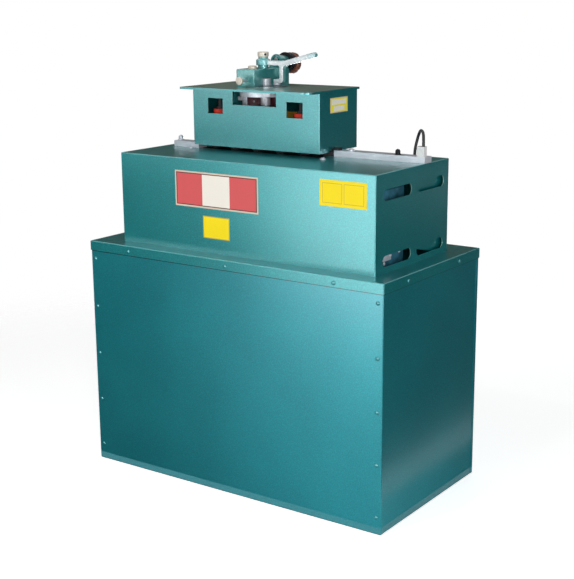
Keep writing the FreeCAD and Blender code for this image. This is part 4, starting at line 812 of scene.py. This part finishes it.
rounded_box("control_box", (0.386, -0.150, 0.6802), (box_front, -0.031, 0.8900),
            navy_plastic, edge=0.006)
rounded_box("control_box_foot", (0.372, -0.162, 0.6801), (0.4275, -0.026, 0.6835),
            turned_steel, edge=0.0012)
rounded_box("control_box_cover", (0.4242, -0.143, 0.7015), (cover_front, -0.100, 0.850),
            turned_steel, edge=0.0006)
cover_screws = [((cover_front, y, z), (1, 0, 0))
                for y in (-0.138, -0.105) for z in (0.7135, 0.779, 0.8445)]
cover_screws += [((box_front, -0.058, 0.7170), (1, 0, 0)),
                 ((box_front, -0.134, 0.6955), (1, 0, 0))]
screw_growth = domed_screws("cover_screw", radius=0.0050, rise=0.0030, side=0.003, grip=0.002)
box_screws = screw_growth.grown("control_box_screws", seats_mesh("cover_seats", cover_screws),
                                turned_steel, screw_growth.screws)
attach(box_screws, "machine")


# Behind the head guard's mouth. The gear case's maroon side cover with its screw, and the bright
# stepped bracket that stands under the drive disc's left side.
case_screw_place = (-0.1455, 0.0740, 1.0735)
rounded_box("gearcase_side_cover", (-0.1715, 0.0740, 1.0221), (-0.1285, 0.0920, 1.0850),
            maroon_enamel, edge=0.002)
cover_growth = domed_screws("side_cover_screw", radius=0.0035, rise=0.0025, side=0.002,
                            grip=0.001)
case_screw = cover_growth.grown("side_cover_screw",
                                seats_mesh("side_cover_seat", [(case_screw_place, (0, -1, 0))]),
                                turned_steel, cover_growth.screws)
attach(case_screw, "machine")
rounded_box("disc_bracket_post", (-0.1500, 0.0240, 1.0221), (-0.1340, 0.0300, 1.0800),
            turned_steel, edge=0.0008)
rounded_box("disc_bracket_head", (-0.1660, 0.0240, 1.0800), (-0.1340, 0.0300, 1.0915),
            turned_steel, edge=0.0008)


# Reversing switch. A grey drum switch on the stand's left ledge, with a moulded black pointer
# handle on top.
coat("drum_switch", cast_grey)
coat("drum_handle", black_plastic)


# Plates on the guards. Thin printed foil, stuck to the enamel, whose bare fields of colour lie in
# layers one on another.
foil = 0.0003
base_share = 0.5
layer_share = 0.25


def flat_paint(name, code):
    """Printed colour without a sheen, a little uneven."""
    paint = Finish(name, Specular_IOR_Level=0.3)
    fine = paint.noise(500.0, 2.0)
    tint = shade(code)
    paler = tuple(min(1, part * 1.08) for part in tint[:3]) + (1.0,)
    paint.feed("Base Color", paint.mix(fine, tint, paler))
    paint.feed("Roughness", 0.5 + fine * 0.08)
    return paint.material


plate_red = flat_paint("plate_red", "c85254")
plate_white = flat_paint("plate_white", "e0dad0")
plate_cream = flat_paint("plate_cream", "cbb9a6")
plate_dark = flat_paint("plate_dark", "4a2a2c")
plate_yellow = flat_paint("plate_yellow", "e9d000")
plate_ochre = flat_paint("plate_ochre", "b7a23f")
# Paler copies of the yellow and white for the plate on the head's end, painted lighter for its
# dimmer light.
plate_yellow_lit_paler = flat_paint("plate_yellow_lit_paler", "f8e846")
plate_white_lit_paler = flat_paint("plate_white_lit_paler", "f0ebe0")


def plate(name, corner, along, length, rise, fields):
    """A foil plate. fields are (from, to, low, high, material), in shares of its length and
    height, and each lies a little above the one before it."""
    outward = along.cross(Vector((0, 0, 1)))
    shape = bmesh.new()
    finishes = []
    for layer, (start, end, low, high, material) in enumerate(fields, 1):
        if material not in finishes:
            finishes.append(material)
        lift = outward * foil * (base_share + layer_share * layer)
        ring = [along * length * x + Vector((0, 0, rise * z))
                for x, z in ((start, low), (end, low), (end, high), (start, high))]
        back = [shape.verts.new(corner + point) for point in ring]
        front = [shape.verts.new(corner + lift + point) for point in ring]
        sides = [[back[i], back[(i + 1) % 4], front[(i + 1) % 4], front[i]] for i in range(4)]
        for verts in (front, back[::-1], *sides):
            shape.faces.new(verts).material_index = finishes.index(material)
    mesh = bpy.data.meshes.new(name)
    bmesh.ops.recalc_face_normals(shape, faces=shape.faces)
    shape.to_mesh(mesh)
    shape.free()
    for material in finishes:
        mesh.materials.append(material)
    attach(made_object(name, mesh), "machine")


along_x = Vector((1, 0, 0))
along_y = Vector((0, 1, 0))
guard_face = -0.211
plate("large_guard_plate", Vector((-0.212, guard_face, 0.803)), along_x, 0.289, 0.100,
      [(0, 1, 0, 1, plate_cream), (0.015, 0.985, 0.045, 0.955, plate_dark),
       (0.025, 0.335, 0.07, 0.93, plate_red), (0.335, 0.665, 0.07, 0.93, plate_white),
       (0.665, 0.975, 0.07, 0.93, plate_red)])
plate("small_guard_plate", Vector((-0.1145, guard_face, 0.7195)), along_x, 0.0925, 0.0625,
      [(0, 1, 0, 1, plate_ochre), (0.03, 0.97, 0.04, 0.96, plate_yellow)])
plate("double_guard_plate", Vector((0.2745, guard_face, 0.8475)), along_x, 0.1435, 0.0685,
      [(0, 1, 0, 1, plate_yellow), (0.06, 0.48, 0.12, 0.88, plate_ochre),
       (0.07, 0.47, 0.14, 0.86, plate_yellow), (0.52, 0.94, 0.12, 0.88, plate_ochre),
       (0.53, 0.93, 0.14, 0.86, plate_yellow)])
# Its yellow and white are the paler copies, with light painted in.
plate("head_plate", Vector((0.1465, 0.034, 1.056)), along_y, 0.090, 0.042,
      [(0, 1, 0, 1, plate_cream), (0.03, 0.97, 0.05, 0.95, plate_yellow_lit_paler),
       (0.10, 0.90, 0.54, 0.86, plate_white_lit_paler), (0.20, 0.80, 0.12, 0.42, plate_white_lit_paler)])
